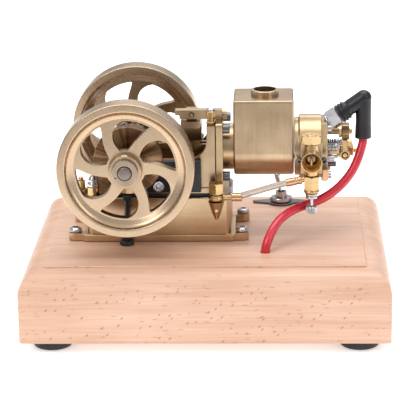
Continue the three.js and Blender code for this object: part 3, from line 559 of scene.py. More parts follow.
# ---------------------------------------------------------------- placing
def place(name, obj, finish, body="engine"):
    """Names a drawn shape, scales it to metres, shades it and lets it ride on a body."""
    obj.name = name
    obj.data.name = name
    obj.data.transform(Matrix.Scale(MM, 4))
    obj.data.materials.clear()
    obj.data.materials.append(finish)
    obj.data.shade_smooth()
    obj.data.set_sharp_from_angle(angle=radians(38))
    weighted = obj.modifiers.new("weighted", "WEIGHTED_NORMAL")
    weighted.keep_sharp = True
    bake(obj)
    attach(obj, body)
    return obj


def stand_in(node, obj, finish):
    """A detailed piece in place of a CAD node, on the same body."""
    made = place(node + "_fine", obj, finish, frame["nodes"][node]["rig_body"])
    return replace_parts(made, node)


def keep(finish, *nodes, edge=0.00012):
    """Shows CAD nodes as they are, with eased edges and a proper finish."""
    for node in nodes:
        obj = frame["nodes"][node]
        obj.data.materials.clear()
        obj.data.materials.append(finish)
        obj.data.shade_smooth()
        obj.data.set_sharp_from_angle(angle=radians(30))
        if edge:
            modifier = obj.modifiers.new("soften", "BEVEL")
            modifier.width, modifier.segments = edge, 2
            modifier.limit_method, modifier.angle_limit = "ANGLE", radians(40)


# ---------------------------------------------------------------- common fasteners
def aimed(obj, at, direction):
    """Turns a shape drawn up the Z axis so that it points in a direction, and moves it to a point."""
    turn = Vector(direction).to_track_quat("Z", "Y").to_matrix().to_4x4()
    return moved(obj, Matrix.Translation(at) @ turn)


def socket_screw(radius, height, round_by=0.3, dome=False):
    """A screw head with a hexagon socket, drawn up from the plane it sits on."""
    shoulder = [(radius, height * 0.55), (radius * 0.62, height)] if dome else [(radius, height)]
    profile = [(0, 0), (radius, 0), *shoulder, (0, height)]
    head = lathe("z", (0, 0), profile, 48, round_by)
    socket = rod("z", (0, 0), radius * 0.52, height * 0.45, height + 1, 6)
    return soften(cut(head, socket), 0.08, 2, 50)


def hex_head(radius, height):
    return hexagon("z", (0, 0), radius, 0, height, 30, 0.3)


def knurled(radius, height, teeth=28, depth=0.25):
    """A knob with straight knurling."""
    ring = [
        (r * cos(TAU * (i + s) / teeth), r * sin(TAU * (i + s) / teeth))
        for i in range(teeth) for r, s in ((radius - depth, 0.0), (radius, 0.35), (radius, 0.65))
    ]
    body = prism("z", ring, 0, height)
    blank = lathe("z", (0, 0), [(0, 0), (radius - 0.4, 0), (radius + 0.05, 0.4),
                                (radius + 0.05, height - 0.4),
                                (radius - 0.4, height), (0, height)], 48)
    return common(body, blank)


# ---------------------------------------------------------------- cords
def cords():
    lead = wire("red_lead", smooth_line(LEAD_ROUTE), 0.0021, 8)
    lead.data.materials.append(SILICONE)
    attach(lead, "engine")
    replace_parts(lead, "ignition_lead")
    for name, route, radius, finish, node in (
        ("fuel_hose", FUEL_ROUTE, 0.0015, HOSE, "fuel_line"),
        ("sensor_wire", CABLE_ROUTE, 0.0013, BLACK, "sensor_cable"),
    ):
        hose = wire(name, smooth_line(route), radius, 8)
        hose.data.materials.append(finish)
        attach(hose, "engine")
        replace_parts(hose, node)


# ---------------------------------------------------------------- base
def base():
    low, high = span("wooden_base")
    half_x, half_y = high.x, high.y
    face, moulding, step = low.z + 22.5, 11, 0.9
    ovolo = [(moulding - step - (moulding - step) * cos(radians(a)), face
              + (high.z - step - face) * sin(radians(a))) for a in range(0, 91, 6)]
    section = [(0.8, low.z), (0.3, low.z + 0.2), (0, low.z + 0.7), *ovolo, (moulding - 0.15, high.z - step),
               (moulding, high.z - step + 0.15), (moulding, high.z - 0.3), (moulding + 0.3, high.z)]
    rings = [[(x, y, z) for x, y in rounded_rectangle(inset - half_x, half_x - inset, inset - half_y,
                                                      half_y - inset, 1.0, 4)] for inset, z in section]
    count = len(rings[0])
    points = [p for ring in rings for p in ring]
    faces = [tuple(range(count)), tuple(range(len(points) - count, len(points)))]
    for k in range(len(rings) - 1):
        for i in range(count):
            j = (i + 1) % count
            faces.append((k * count + i, k * count + j, (k + 1) * count + j, (k + 1) * count + i))
    body = mesh_of(points, faces)
    pocket_floor = low.z + 17
    holes = [rod("z", centre(node)[:2], radius, pocket_floor - 1, high.z + 1, 48)
             for node, radius in (("cable_grommet", 2.6), ("toggle_bushing", 3.3))]
    lead_end = Vector(LEAD_ROUTE[-1]) / MM
    holes.append(rod("z", lead_end[:2], 2.35, pocket_floor - 1, high.z + 1, 48))
    body = cut(body, block(-50, 55, -42, 52, low.z - 1, pocket_floor),
               block(-53, 58, -45, 55, low.z - 1, low.z + 2.4),
               *holes)
    stand_in("wooden_base", body, WOOD)
    for node in ("foot_front_left", "foot_front_right", "foot_rear_left", "foot_rear_right"):
        x, y, _ = centre(node)
        profile = [(0, 0), (6.6, 0), (8.6, 0.5), (9.4, 2), (9.8, 5.1), (0, 5.1)]
        stand_in(node, lathe("z", (x, y), profile, 72, 0.8), RUBBER)


def toggle():
    x, y = TOGGLE
    z = DECK + GAP
    disc, tip = 6.9, 14
    angle = degrees(asin(3 / disc))
    outline = [*arc((0, 0), disc, angle, 180 - angle, 24), (-tip + 0.8, 1.2), (-tip, 0.6), (-tip, -0.6),
               (-tip + 0.8, -1.2),
               *arc((0, 0), disc, 180 + angle, 360 - angle, 24), (tip - 0.8, -1.2), (tip, -0.6), (tip, 0.6),
               (tip - 0.8, 1.2)]
    plate = soften(cut(prism("z", outline, z, z + 0.8), rod("z", (0, 0), 3.3, z - 1, z + 2)), 0.25)
    stand_in("toggle_plate", shifted(plate, x, y, 0), DARK_STEEL)
    nut_z = z + 1.1
    nut = cut(hexagon("z", (x, y), 5.6, nut_z, nut_z + 1.8, 12, 0.4),
              rod("z", (x, y), 2.95, nut_z - 1, nut_z + 3))
    thread = [(3.0 - 0.18 * (i % 2), DECK - 19 + 0.35 * i) for i in range(60)]
    sleeve = lathe("z", (x, y), [(1.9, DECK - 19), *thread, (2.9, nut_z + 4.6), (1.9, nut_z + 4.6)], 48)
    stand_in("toggle_bushing", group(nut, sleeve), STEEL)
    lever = lathe("z", (0, 0), [(0, -0.7), (0.9, -0.7), (0.85, 3.4), (1.5, 10), (1.45, 10.8), (0, 11.4)], 40,
                  0.5)
    lean = Matrix.Rotation(radians(-11), 4, "Y")
    stand_in("toggle_lever", moved(lever, Matrix.Translation((x, y, DECK + 4.2)) @ lean), STEEL)


def sensor():
    body = block(-27.3, -2.5, -19.6, -16.4, 62.8, 77.6)
    arm = block(-38.6, -27, -19.6, -17.8, 60.4, 64)
    pickup = block(-38.2, -34.6, -24.2, -19, 60.4, 63)
    holder = soften(cut(join(body, arm, pickup), rod("y", (-21.9, 66.4), 1.4, -20, -15, 32)), 0.35)
    sleeve = lathe("z", (-36.4, -22.4), [(0, 57.3), (1.45, 57.3), (1.5, 61), (0, 61)], 40, 0.2)
    stand_in("sensor_bracket", group(holder, sleeve), BLACK)
    screw = aimed(socket_screw(2.55, 2.6), (-21.9, -19.6, 66.4), (0, -1, 0))
    place("sensor_screw", screw, STEEL)
    x, y, _ = centre("cable_grommet")
    z = DECK + GAP
    profile = [(1.6, z), (3.4, z), (3, z + 1.4), (1.9, z + 1.8), (1.6, z + 1.8)]
    stand_in("cable_grommet", lathe("z", (x, y), profile, 48, 0.3), RUBBER)


# ---------------------------------------------------------------- tank and fuel
def tank():
    bottom = DECK + GAP
    x0, x1, half, top = -56, 11.1, 17.4, TANK_TOP
    body = soften(prism("z", rounded_rectangle(x0, x1, -half, half, 3, 8), bottom, top), 0.5)
    flange = soften(prism("z", rounded_rectangle(-57.5, 13, -19, 19, 1.2), bottom, 41.9), 0.3)
    ears = []
    for x in (-61.7, 16.2):
        inward = 8 if x < 0 else -8
        for y in (-14.6, 14.6):
            ears.append(peg("z", (x, y), 3.1, bottom, EAR_TOP, 48, 0.2))
            ears.append(soften(block(min(x, x + inward), max(x, x + inward), y - 3.05, y + 3.05, bottom,
                                     42.1), 0.2))
    lean = (BANJO[1] + half - 1) / (top - 0.6 - 48)
    shear = Matrix(((1, 0, 0, BANJO[0]), (0, 1, lean, 1 - half), (0, 0, 1, 48), (0, 0, 0, 1)))
    corbel = moved(lathe("z", (0, 0), [(0, 0), (0.6, 0.3), (2.3, 5.5), (3.7, 11), (0, 11)], 48), shear)
    neck = lathe("z", (-59.2, -8), [(0, 52), (3.1, 52.6), (3.1, FILLER_TOP), (0, FILLER_TOP)], 48, 0.3)
    shoulder = soften(block(-59.2, x0 + 4, -11.1, -4.9, 52.6, top), 0.2)
    shell = join(body, flange, *ears, corbel, neck, shoulder)
    shell = cut(shell, block(-46, 1, -15.4, 15.4, bottom + 2.5, top + 1))
    stand_in("fuel_tank", shell, BRUSHED_X)
    for node in ("tank_screw_1", "tank_screw_2", "tank_screw_3", "tank_screw_4"):
        x, y, _ = centre(node)
        stand_in(node, shifted(socket_screw(3, 2, 0.4, dome=True), x, y, EAR_TOP + GAP), STEEL)
    for name, y in (("oiler_near", -12), ("oiler_far", 12)):
        boss = peg("z", (-52.9, y), 3, top, 63.8, 48, 0.3)
        place(name + "_boss", boss, GOLD)
        profile = [(0, 63.9), (2.9, 63.9), (2.9, 65.4), (2.3, 66.2), (2.5, 67.2), (1.5, 69.2), (1.5, 70.6),
                   (0, 70.6)]
        place(name, lathe("z", (-52.9, y), profile, 48, 0.35), STEEL)


def fuel_fittings():
    x, y, _ = centre("fuel_cap")
    z = FILLER_TOP + GAP
    cap = lathe("z", (x, y), [(0, z - 3), (1.1, z - 3), (1.1, z), (2, z), (2, z + 3.6), (0, z + 3.6)], 48,
                0.25)
    knob = lathe("z", (x, y), [(0, z + 3), *[(1.25 * sin(radians(a)), z + 4.4 - 1.2 * cos(radians(a)))
                                             for a in range(40, 180, 12)], (0, z + 5.6)], 40)
    stand_in("fuel_cap", group(cap, knob), GOLD)
    x, y = BANJO
    head = hexagon("z", (x, y), 3.7, 63, 67.8, 90, 0.45)
    collar = lathe("z", (x, y), [(0, 54), (1.15, 54), (1.15, 62.6), (2.6, 62.6), (2.6, 63.1), (0, 63.1)], 48)
    stand_in("banjo_bolt", group(head, collar), GOLD)
    ring = [(1.5, 59.3), (2.8, 59.3), (3.6, 60.4), (3.6, 61.2), (2.8, 62.3), (1.5, 62.3)]
    barb = lathe("x", (y, 60.8), [(0, x + 2.4), (1.3, x + 2.4), (1.3, 8.6), (1.6, 8.7), (1.2, 9.6),
                                  (1.2, 10.9), (0, 10.9)])
    stand_in("banjo_ring", group(lathe("z", (x, y), ring, 64, 0.5), barb), GOLD)
    sleeve = lathe("x", (y, 60.95), [(1.55, 11.6), (1.95, 11.6), (1.95, 16.4), (1.55, 16.4)], 48, 0.15)
    place("hose_sleeve", sleeve, COPPER)
    drain = shifted(knurled(1.05, 6.4, 14, 0.2), 11.2, -9, TANK_TOP)
    place("drain_screw", drain, STEEL)


# ---------------------------------------------------------------- frame and crank train
def side_wall(y0, y1):
    sweep = arc((0.2 - 9, 86), 9, 0, -90, 24)
    outline = [(-50, 62.7), (3, 62.7), (3, 86), *sweep, (-50, 77)]
    return prism("y", outline, y0, y1)


def engine_frame():
    floor = block(-50, 4, -16, 16, 61.4, 63.7)
    plate = block(0.2, 4, -15, 15, 62.7, 92.9)
    bosses = [rod("y", (CRANK_X, AXIS_Z), 7.4, a, b) for a, b in ((-15, -11), (11, 15))]
    post = block(-12, -3, 11, 15, 75, 93.4)
    bridge = block(-12, -3, -8, 15, 90.3, 93.4)
    ear = block(-9.4, -4.6, -1.7, 1.2, 93, 98.4)
    body = join(floor, side_wall(-15, -11), side_wall(11, 15), plate, *bosses, post, bridge, ear)
    body = cut(body, rod("y", (CRANK_X, AXIS_Z), 4.7, -17, 17), rod("x", (0, AXIS_Z), BARREL_R - 0.4, -4, 5))
    body = soften(body, 0.3)
    stud = peg("y", (CAM_X, CAM_Z), 2, 13, 25.6, 40, 0.2)
    pin = peg("y", (-7, 96.2), 0.9, -7.4, -1, 32, 0.15)
    stand_in("engine_frame", group(body, stud, pin), BRUSHED_Z)
    for node in ("bearing_near", "bearing_far"):
        low, high = span(node)
        ring = [(3.2, low.y), (4.4, low.y), (4.4, high.y), (3.2, high.y)]
        stand_in(node, lathe("y", (CRANK_X, AXIS_Z), ring, 64, 0.2), GOLD)


def crank_web(y0, y1):
    outline = [*arc((THROW, 0), 3.6, -90, 90, 24), (0, 5.5), *arc((0, 0), 11, 108, 252, 40), (0, -5.5)]
    return soften(shifted(prism("y", outline, y0, y1), CRANK_X, 0, AXIS_Z), 0.3)


def crank_train():
    at = (CRANK_X, AXIS_Z)
    left = peg("y", at, 3, -47, -5, 64, 0.5)
    right = peg("y", at, 3, 5, 47, 64, 0.5)
    pin = peg("y", (CRANK_X + THROW, AXIS_Z), 2.4, -5, 5, 48)
    stand_in("crankshaft", group(left, right, crank_web(-7.8, -4.3), crank_web(4.3, 7.8), pin), SHAFT_STEEL)
    for node, outward in (("hub_collar_near", -1), ("hub_collar_far", 1)):
        low, high = span(node)
        ring = lathe("y", at, [(3.2, low.y), (6, low.y), (6, high.y), (3.2, high.y)], 80, 0.35)
        face = low.y if outward < 0 else high.y
        dot = rod("y", (CRANK_X - 4.1, AXIS_Z - 2), 0.55, face - 0.8, face + 0.8, 24)
        stand_in(node, cut(ring, dot), TURNED_STEEL)
    low, high = span("magnet_disc")
    profile = [(3.3, low.y), (15.8, low.y), (15.8, high.y), (3.3, high.y)]
    stand_in("magnet_disc", lathe("y", at, profile, 128, 0.35), DISC_PAINTED_REFLECTIONS)
    for node, turn in (("governor_weight_1", 0), ("governor_weight_2", pi)):
        bar = soften(block(-12.5, 6, 26.5, 29.5, 5, 8.4), 0.4)
        bob = peg("y", (4.4, 7.2), 3, 26.5, 29.5, 48, 0.4)
        pivot = peg("y", (-12.4, 6.7), 2, 26.5, 34.7, 40, 0.3)
        spin = Matrix.Translation((CRANK_X, 0, AXIS_Z)) @ Matrix.Rotation(turn, 4, "Y")
        stand_in(node, moved(group(bar, bob, pivot), spin), STEEL)


WHEEL_SIZE = {"radius": 31, "half": 5.5, "hub": 7.35, "gap_in": 8.9, "gap_out": 22.8, "web": 2.3, "spokes": 6}


def spoke_gap(turn):
    """One opening between two spokes, which sweep back as they go outward and flare at both ends."""
    inner, outer = WHEEL_SIZE["gap_in"], WHEEL_SIZE["gap_out"]
    sides = []
    for sign in (-1, 1):
        side = []
        for i in range(25):
            t = 0.5 - 0.5 * cos(pi * i / 24)
            radius = inner + (outer - inner) * t
            half = 2 + 0.7 * t + 2.6 * t ** 7 + 1.1 * (1 - t) ** 4
            angle = turn - radians(18) * t * t + sign * (pi / WHEEL_SIZE["spokes"] - half / radius)
            side.append((radius * cos(angle), radius * sin(angle)))
        sides.append(side)
    low, high = sides[0], sides[1][::-1]

    def bridge(a, b):
        """Points round the wheel's centre between the ends of the two sides."""
        radius = hypot(*a)
        start, end = atan2(a[1], a[0]), atan2(b[1], b[0])
        turn_by = (end - start + pi) % TAU - pi
        return [(radius * cos(start + turn_by * k / 10), radius * sin(start + turn_by * k / 10))
                for k in range(1, 10)]

    loop = [*low, *bridge(low[-1], high[0]), *high, *bridge(high[-1], low[0])]
    return eased_loop(loop, 2)


def eased_loop(loop, passes):
    """Averages each point with its neighbours, which rounds the corners of a dense outline."""
    for _ in range(passes):
        loop = [tuple((a + 2 * b + c) / 4 for a, b, c in zip(loop[i - 1], loop[i], loop[(i + 1) % len(loop)]))
                for i in range(len(loop))]
    return loop


def flywheel(node, y, phase):
    web, w, hub_r, spokes = (WHEEL_SIZE[key] for key in ("web", "half", "hub", "spokes"))
    half = [(23.2, web - 0.1), (25.8, 3.4), (26.8, 4.2), (27.4, w), (WHEEL_SIZE["radius"], w)]
    rim = [*half, *[(r, -h) for r, h in reversed(half)]]
    hub = [(3.3, 6.2), (hub_r, 6.2), (hub_r + 0.5, web - 0.2), (hub_r + 0.5, 0.2 - web),
           (hub_r, -6.2), (3.3, -6.2)]
    disc = prism("y", circle((0, 0), 24.6, 144), -web, web)
    for i in range(spokes):
        turn = radians(phase) + (i + 0.5) * TAU / spokes
        cut(disc, prism("y", spoke_gap(turn), -9, 9))
    cut(disc, rod("y", (0, 0), 6, -9, 9, 72))
    soften(disc, 1.5, 5, 50)
    wheel = group(disc, lathe("y", (0, 0), rim, 192, 0.55), lathe("y", (0, 0), hub, 96, 0.4))
    stand_in(node, shifted(wheel, CRANK_X, y, AXIS_Z), WHEEL)


# ---------------------------------------------------------------- cylinder, hopper and head
def cylinder():
    at = (0, AXIS_Z)
    tube_profile = [(BORE_R, 0.5), (9.95, 0.5), (9.95, 4.5), (BARREL_R, 4.5), (BARREL_R, 40.4),
                    (BORE_R, 40.4)]
    square = soften(prism("x", rounded_rectangle(-14.2, 14.2, AXIS_Z - 14.2, AXIS_Z + 14.2, 1.5), 4.3, 7.6),
                    0.35)
    square = cut(square, rod("x", at, 9.5, 0, 9))
    stand_in("cylinder", group(square, lathe("x", at, tube_profile, 96, 0.2)), TURNED_X)
    for i, (y, z) in enumerate(((-11.3, -11.3), (-11.3, 11.3), (11.3, -11.3), (11.3, 11.3))):
        screw = aimed(socket_screw(2.2, 3.2), (7.6, y, AXIS_Z + z), (1, 0, 0))
        place(f"cylinder_screw_{i + 1}", screw, DARK_STEEL)


def hopper():
    low, high = span("water_hopper")
    x0, x1, half, top = low.x, high.x, 13.3, 104.4
    outline = [(half, top), (-half, top), *arc((0, AXIS_Z), half, 180, 360, 48)]
    outer = soften(prism("x", outline, x0, x1), 1.0, 4)
    neck = peg("z", NECK, 6.45, top - 1, top + 2.6, 96, 0.6)
    wall = 1.8
    inner = [(half - wall, top - wall), (wall - half, top - wall),
             *arc((0, AXIS_Z), half - wall, 180, 360, 48)]
    shell = join(outer, neck)
    shell = cut(shell, prism("x", inner, x0 + wall, x1 - wall), rod("z", NECK, 5.1, top - 4, top + 4, 96),
                rod("x", (0, AXIS_Z), BARREL_R + GAP, x0 - 1, x1 + 1, 96))
    stand_in("water_hopper", shell, BRUSHED_Z)


def cylinder_head():
    at = (0, AXIS_Z)
    turned = lathe("x", at, [(0, 44.8), (8.2, 44.8), (8.2, 40.7), (13.6, 40.7), (13.6, 42.7), (14.9, 42.9),
                             (14.9, 53.2),
                             (0, 53.2)], 96, 0.35)
    plate = soften(block(53.1, 56, -9, 9, 65, 92.4), 0.35)
    body = join(turned, plate)
    seat = on_plug_axis(rod("z", (0, 0), 5.2, 6.2, 24, 48))
    guides = [rod("x", (y, VALVE_Z), 1.2, 43, 60, 24) for y in (INTAKE_Y, EXHAUST_Y)]
    body = cut(body, seat, *guides)
    stand_in("cylinder_head", body, TURNED_X)
    for i, (y, z) in enumerate(((-6.9, 89.6), (6.9, 89.6), (-6.9, 67.6), (6.9, 67.6))):
        place(f"head_screw_{i + 1}", aimed(socket_screw(1.7, 1.8), (56, y, z), (1, 0, 0)), STEEL)


def on_plug_axis(obj):
    turn = Matrix.Rotation(pi / 2 - PLUG["tilt"], 4, "Y")
    return moved(obj, Matrix.Translation((PLUG["x"], 0, PLUG["z"])) @ turn)


def spark_plug():
    shell = hexagon("z", (0, 0), 4.8, 6.9, 12.1, 0, 0.5)
    gasket = peg("z", (0, 0), 4.3, 6.2, 7, 48, 0.3)
    thread = [(1.9 - 0.2 * (i % 2), 0.5 + 0.3 * i) for i in range(20)]
    stem = lathe("z", (0, 0), [(0, -5), (1.6, -5), (1.6, 0.4), *thread, (0, 6.5)], 40)
    neck = peg("z", (0, 0), 2.4, 11.8, 14, 48, 0.2)
    stand_in("spark_plug", on_plug_axis(group(shell, gasket, stem, neck)), STEEL)
    insulator = peg("z", (0, 0), 1.6, 13.9, 17.6, 40, 0.2)
    place("plug_insulator", on_plug_axis(insulator), CERAMIC)


def plug_boot():
    reach = (BOOT_X - PLUG["x"]) / cos(PLUG["tilt"])
    elbow_z = PLUG["z"] + reach * sin(PLUG["tilt"])
    ribs = [(2.9, 12.4), (4.3, 12.4), (4.65, 12.7), (4.65, 13.4), (4.2, 13.7), (4.2, 14.0),
            (4.6, 14.3), (4.6, 14.9), (4.15, 15.2), (4.15, 15.6), (4.5, 15.9), (4.5, 16.4),
            (3.8, 17.0), (3.55, 18.2), (3.7, 19), (3.7, reach), (0, reach), (0, 18.2), (2.1, 18.2),
            (2.1, 14.6), (2.9, 14.6)]
    ribs = [*ribs[16:], *ribs[:16]]
    arm = on_plug_axis(lathe("z", (0, 0), ribs, 64, 0.12))
    leg_profile = [(0, elbow_z), (3.7, elbow_z), (3.65, 90), (3.85, 84.2), (3.85, 83.5), (2.3, 83.5),
                   (2.3, 84), (0, 84)]
    leg = lathe("z", (BOOT_X, 0), leg_profile, 64, 0.2)
    ball = [(3.78 * sin(radians(a)), elbow_z - 3.78 * cos(radians(a))) for a in range(10, 180, 8)]
    elbow = lathe("z", (BOOT_X, 0), [(0, elbow_z - 3.78), *ball, (0, elbow_z + 3.78)], 64)
    stand_in("plug_boot", soften(join(arm, leg, elbow), 0.35, 3, 45), BOOT)


# ---------------------------------------------------------------- mixer
def mixer():
    x, y, z = MIXER
    pad = soften(block(x - 5, x + 5, -17.4, -12, z - 6.6, z + 8.2), 0.3)
    pad = cut(pad, rod("x", (0, AXIS_Z), 15.2, x - 8, x + 8, 128))
    place("mixer_pad", pad, BRUSHED_Z)
    neck = lathe("z", (x, y + 0.6), [(0, z - 1), (4.3, z - 1), (4.2, z + 2), (3.3, z + 5.5), (3.1, z + 8.2),
                                     (0, z + 8.2)],
                 64, 0.5)
    boss = lathe("z", (x, y), [(0, z - 6.6), (2.8, z - 6.6), (3.4, z - 3), (0, z - 3)], 48, 0.3)
    face = y - 4.6
    horn = lathe("y", (x, z + 0.4), [(0, -16.6), (4.7, -16.6), (4.5, face + 2.2), (4.85, face), (0, face)],
                 80, 0.15)
    bell = lathe("y", (x, z + 0.4), [(0, -15), (1.5, -15), (1.7, y + 1), (3.4, face + 1.6),
                                     (4.45, face - 0.05),
                                     (4.45, face - 1), (0, face - 1)], 80)
    body = cut(join(neck, boss, horn), bell)
    jet = lathe("z", (x, y + 0.4), [(0, z - 4), (0.8, z - 4), (0.8, z + 0.6), (0.45, z + 1.4), (0, z + 1.4)],
                32, 0.1)
    stand_in("mixer_body", group(body, jet), GOLD)
    for name, dx in (("mixer_screw_left", -5.6), ("mixer_screw_right", 5.9)):
        screw = aimed(socket_screw(1.35, 3), (x + dx, -15.4, z - 0.2), (0, -1, 0))
        place(name, screw, DARK_STEEL)
    plug = hexagon("z", (x, y + 1.2), 4.9, z + 8.6, z + 12.2, 90, 0.5)
    collar = peg("z", (x, y + 1.2), 3.3, z + 8.2, z + 8.8, 48)
    button = lathe("z", (x, y + 1.2), [(0, z + 12), (2.5, z + 12), (2.3, z + 12.5), (0, z + 12.5)], 48, 0.2)
    stand_in("mixer_plug", group(plug, collar, button), GOLD)


def jet_and_needle():
    x, y, z = MIXER
    nut = hexagon("z", (x, y), 3.9, z - 13.2, z - 6.9, 90, 0.7)
    ring = lathe("z", (x, y), [(0, z - 15.2), (3, z - 15.2), (3.6, z - 14.4), (3.6, z - 13.8), (3, z - 13),
                               (0, z - 13)],
                 64, 0.4)
    lean = Matrix.Translation((x, y, z - 7.8)) @ Matrix.Rotation(radians(-102), 4, "Y")
    tail = peg("z", (0, 0), 1.2, 2, 11, 40)
    tail = moved(tail, lean)
    stand_in("jet_holder", group(nut, ring, tail), GOLD)
    sleeve = [(1.25, 4.6), (1.85, 4.6), (1.85, 6.2), (1.65, 6.5), (1.65, 7.1), (1.85, 7.4), (1.9, 11.8),
              (1.62, 11.8),
              (1.62, 10.8), (1.25, 10.8)]
    place("hose_ferrule", moved(lathe("z", (0, 0), sleeve, 48, 0.15), lean), COPPER)
    washers = lathe("z", (x, y), [(1, z - 17.4), (2.7, z - 17.4), (2.7, z - 16.4), (2.4, z - 16.2),
                                  (2.9, z - 16),
                                  (2.9, z - 15.2), (1, z - 15.2)], 48, 0.15)
    place("jet_washers", washers, STEEL)
    stem = lathe("z", (x, y), [(0, z - 22), (0.75, z - 22), (0.75, z - 11), (0.2, z - 8), (0, z - 8)], 32)
    knob = shifted(knurled(2.6, 3, 24, 0.3), x, y, z - 24.4)
    stand_in("needle_valve", group(stem, knob), STEEL)


# ---------------------------------------------------------------- valve gear
def helix(a, b, radius, turns, thickness):
    """A compression spring round the X axis, with its end turns closed."""
    points = []
    count = 18 * (turns + 2)
    for i in range(count + 1):
        share = i / count
        run = min(1, max(0, (share * (turns + 2) - 1) / turns))
        angle = TAU * share * (turns + 2)
        points.append((a + thickness + (b - a - 2 * thickness) * run, radius * cos(angle),
                       radius * sin(angle)))
    return tube(points, thickness, 3)


def valve(node, y, retainer):
    tip = retainer + 2.4
    profile = [(0, 43), (3.2, 43), (3.2, 43.5), (0.9, 44.5), (0.9, retainer), (2.1, retainer),
               (2.1, retainer + 0.9),
               (0.95, retainer + 1.2), (0.9, tip - 0.4), (0, tip)]
    stand_in(node, lathe("x", (y, VALVE_Z), profile, 48, 0.12), STEEL)


def springs():
    # The exhaust spring is drawn in dark steel as painted shade: it is the same steel spring as the intake
    # one, but stands in shadow.
    for node, y, joint, travel, finish in (
        ("intake_spring", INTAKE_Y, "intake_slide", 1.8, STEEL),
        ("exhaust_spring", EXHAUST_Y, "exhaust_slide", 1.85, DARK_STEEL),
    ):
        low, high = span(node)
        coil = shifted(helix(low.x, high.x, 1.75, 4, 0.24), 0, y, VALVE_Z)
        made = stand_in(node, coil, finish)
        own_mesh(made)


def valve_gear():
    valve("intake_valve", INTAKE_Y, 59.6)
    valve("exhaust_valve", EXHAUST_Y, 60.8)
    springs()
    x, z, reach = ROCKER["x"], ROCKER["z"], ROCKER["reach"]
    foot = soften(block(56.3, 57.8, 9.4, 16.4, 70.6, 77.6), 0.25)
    arm = soften(block(57, x + 1, 12, 14.2, 72, 76.4), 0.25)
    pin = peg("y", (x, z), 1.2, 2.6, 25.2, 40, 0.2)
    stand_in("rocker_bracket", group(foot, arm, pin), GOLD)
    hubs = [lathe("y", (x, z), [(1.5, a), (2.5, a), (2.5, b), (1.5, b)], 48, 0.25) for a,
            b in ((2.9, 11.6), (14.6, 24.8))]
    upper = soften(cut(block(x - 1, x + 1, 2.9, 5.5, z, z + reach + 1.4), rod("y", (x, z), 2, 2, 7)), 0.25)
    lower = soften(cut(block(x - 1, x + 1, 21.6, 24.4, z - reach - 1.4, z), rod("y", (x, z), 2, 20, 26)),
                   0.25)
    yoke = soften(block(x + 2.4, x + 4.2, 9.6, 16.8, z - 2, z + 2), 0.25)
    tabs = [soften(block(x + 1.9, x + 2.8, a, b, z - 2, z + 2), 0.15) for a, b in ((9.6, 11.6), (14.6, 16.8))]
    nut = aimed(hex_head(2.3, 2.2), (x + 1, 4.2, z + reach), (1, 0, 0))
    screw = aimed(hex_head(1.5, 1.6), (x + 4.2, 13.2, z), (1, 0, 0))
    stand_in("rocker", group(*hubs, upper, lower, yoke, *tabs, nut, screw), GOLD)
    low, high = span("pushrod")
    y, rod_z = (low.y + high.y) / 2, (low.z + high.z) / 2
    profile = [(0, low.x), (2, low.x), (2, low.x + 1.8), (1.1, low.x + 2.4), (1.1, high.x - 1.7),
               (0.6, high.x), (0, high.x)]
    stand_in("pushrod", lathe("x", (y, rod_z), profile, 40, 0.2), STEEL)


def adjuster():
    """The knurled adjuster above the far end of the rocker, on its stud from the head plate."""
    y, z = 8, 84.5
    stud = aimed(knurled(1.55, 7.4, 16, 0.2), (55.8, y, z), (1, 0, 0))
    nut = aimed(knurled(4.1, 3.6, 30, 0.45), (63.0, y, z), (1, 0, 0))
    lock = aimed(hexagon("z", (0, 0), 3.0, 0, 1.3, 30, 0.3), (61.6, y, z), (1, 0, 0))
    tip = aimed(lathe("z", (0, 0), [(0, 0), (1.3, 0), (1.3, 1.2), (0.8, 1.6), (0, 1.6)], 40, 0.1),
                (66.5, y, z), (1, 0, 0))
    place("adjuster", group(stud, nut, lock, tip), TURNED_X)
    for i, (side, height, reach) in enumerate(((-6.2, 75.2, 3.4), (4.0, 73.6, 2.4), (-1.6, 71.2, 4.2))):
        screw = aimed(socket_screw(1.25, reach), (56, side, height), (1, 0, 0))
        place(f"cover_screw_{i + 1}", screw, DARK_STEEL if i == 2 else STEEL)
    tab = soften(block(53.6, 56.4, -14.6, -9.6, 66.8, 72.0), 0.25)
    place("head_tab", tab, COPPER)


def top_fittings():
    low, high = span("latch_bar")
    bar = cut(block(low.x, high.x, low.y, high.y, low.z, high.z), block(-15, -12.6, -7, -1, 93, 96),
              rod("y", (-7, 96.2), 1.2, -7, 0, 32))
    bar = soften(bar, 0.25)
    ends = [aimed(hex_head(1.5, 2.2), (high.x, -4, z), (1, 0, 0)) for z in (97.0, 95.1)]
    stand_in("latch_bar", group(bar, *ends), BRUSHED_X)
    x, y, _ = centre("oil_cup")
    z = span("oil_cup")[0].z
    foot = lathe("z", (x, y), [(0, z), (2.1, z), (2.1, z + 0.8), (1.7, z + 1), (1.7, z + 3), (0, z + 3)], 48,
                 0.1)
    cup = shifted(knurled(2.1, 3.2, 20, 0.2), x, y, z + 2.9)
    cap = lathe("z", (x, y), [(0, z + 6), (1.9, z + 6), (1.9, z + 6.8), (1, z + 7.5), (0, z + 7.6)], 48, 0.3)
    stand_in("oil_cup", group(foot, cup), GOLD)
    place("oil_cup_cap", cap, STEEL)


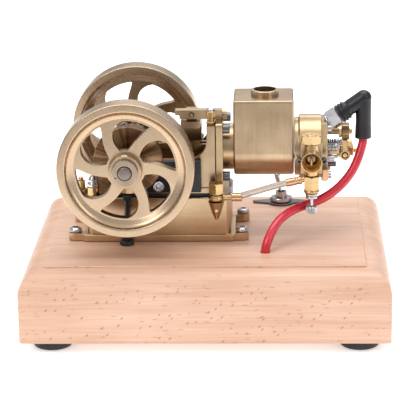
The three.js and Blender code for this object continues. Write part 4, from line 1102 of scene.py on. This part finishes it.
# ---------------------------------------------------------------- stage
def backdrop():
    """A white sheet under and behind the part, whose light falls off in front of it."""
    made, tree, surface = material("paper", "rubber", Roughness=0.9)
    where = add(tree, "ShaderNodeTexCoord").outputs["Object"]
    along_y = add(tree, "ShaderNodeSeparateXYZ", Vector=where).outputs["Y"]
    near = remap(tree, along_y, -0.5, -0.2, 0, 1)
    grain = remap(tree, noise(tree, (40, 40, 40), 2), 0, 1, 0.96, 1.0)
    white = calc(tree, "MULTIPLY", near, grain)
    tree.links.new(mix(tree, white, (0.3, 0.3, 0.3), (0.95, 0.95, 0.95)), surface.inputs["Base Color"])
    surface.inputs["Emission Color"].default_value = (1, 1, 1, 1)
    tree.links.new(calc(tree, "MULTIPLY", near, 0.5), surface.inputs["Emission Strength"])
    wide, front, back = 2500, -2500, 4000
    floor = prism("z", [(-wide, front), (wide, front), (wide, back), (-wide, back)], -20, 0)
    floor.name = "floor"
    floor.data.transform(Matrix.Scale(MM, 4))
    floor.data.materials.append(made)


AIM = Vector((0, 0, 0.07))


def softbox(name, at, size, power):
    light = bpy.data.lights.new(name, "AREA")
    light.shape, light.size, light.size_y, light.energy = "RECTANGLE", *size, power
    obj = bpy.data.objects.new(name, light)
    obj.location = at
    obj.rotation_euler = (AIM - Vector(at)).to_track_quat("-Z", "Y").to_euler()
    bpy.context.scene.collection.objects.link(obj)


def studio():
    """A room that is dark below, grey at eye level and bright overhead, with softboxes."""
    world = bpy.data.worlds.new("studio")
    world.use_nodes = True
    tree = world.node_tree
    where = add(tree, "ShaderNodeTexCoord").outputs["Generated"]
    height = add(tree, "ShaderNodeSeparateXYZ", Vector=where).outputs["Z"]
    low = remap(tree, height, -0.5, 0.15, 0.34, 0.48)
    bright = calc(tree, "ADD", low, remap(tree, height, 0.3, 0.85, 0, 0.5))
    tree.links.new(mix(tree, bright, (0, 0, 0), (1, 0.99, 1)), tree.nodes["Background"].inputs["Color"])
    bpy.context.scene.world = world
    softbox("key", (-0.7, -0.9, 0.9), (0.5, 0.7), 4.5)
    softbox("fill", (0.9, -0.8, 0.6), (0.35, 0.9), 2.1)
    softbox("top", (0.0, 0.1, 1.2), (1.2, 0.7), 7.8)
    softbox("rim", (0.2, 1.2, 0.8), (1.2, 0.3), 3)


# ---------------------------------------------------------------- the object
camera()
cords()
base()
toggle()
sensor()
tank()
fuel_fittings()
engine_frame()
crank_train()
flywheel("flywheel_near", -38, 3.5)
flywheel("flywheel_far", 38, 40)
cylinder()
hopper()
cylinder_head()
spark_plug()
plug_boot()
mixer()
jet_and_needle()
valve_gear()
adjuster()
top_fittings()
keep(BLACK, "base_cover", "battery_pack", "ignition_module")
keep(RUBBER, "tank_gasket", edge=0)
keep(TURNED_Y, "crank_pinion", "cam_gear")
keep(GOLD, "big_end", "rod_fork")
keep(STEEL, "wrist_pin")
keep(DARK_STEEL, "piston")
backdrop()
studio()
bpy.context.scene.view_settings.view_transform = "Standard"
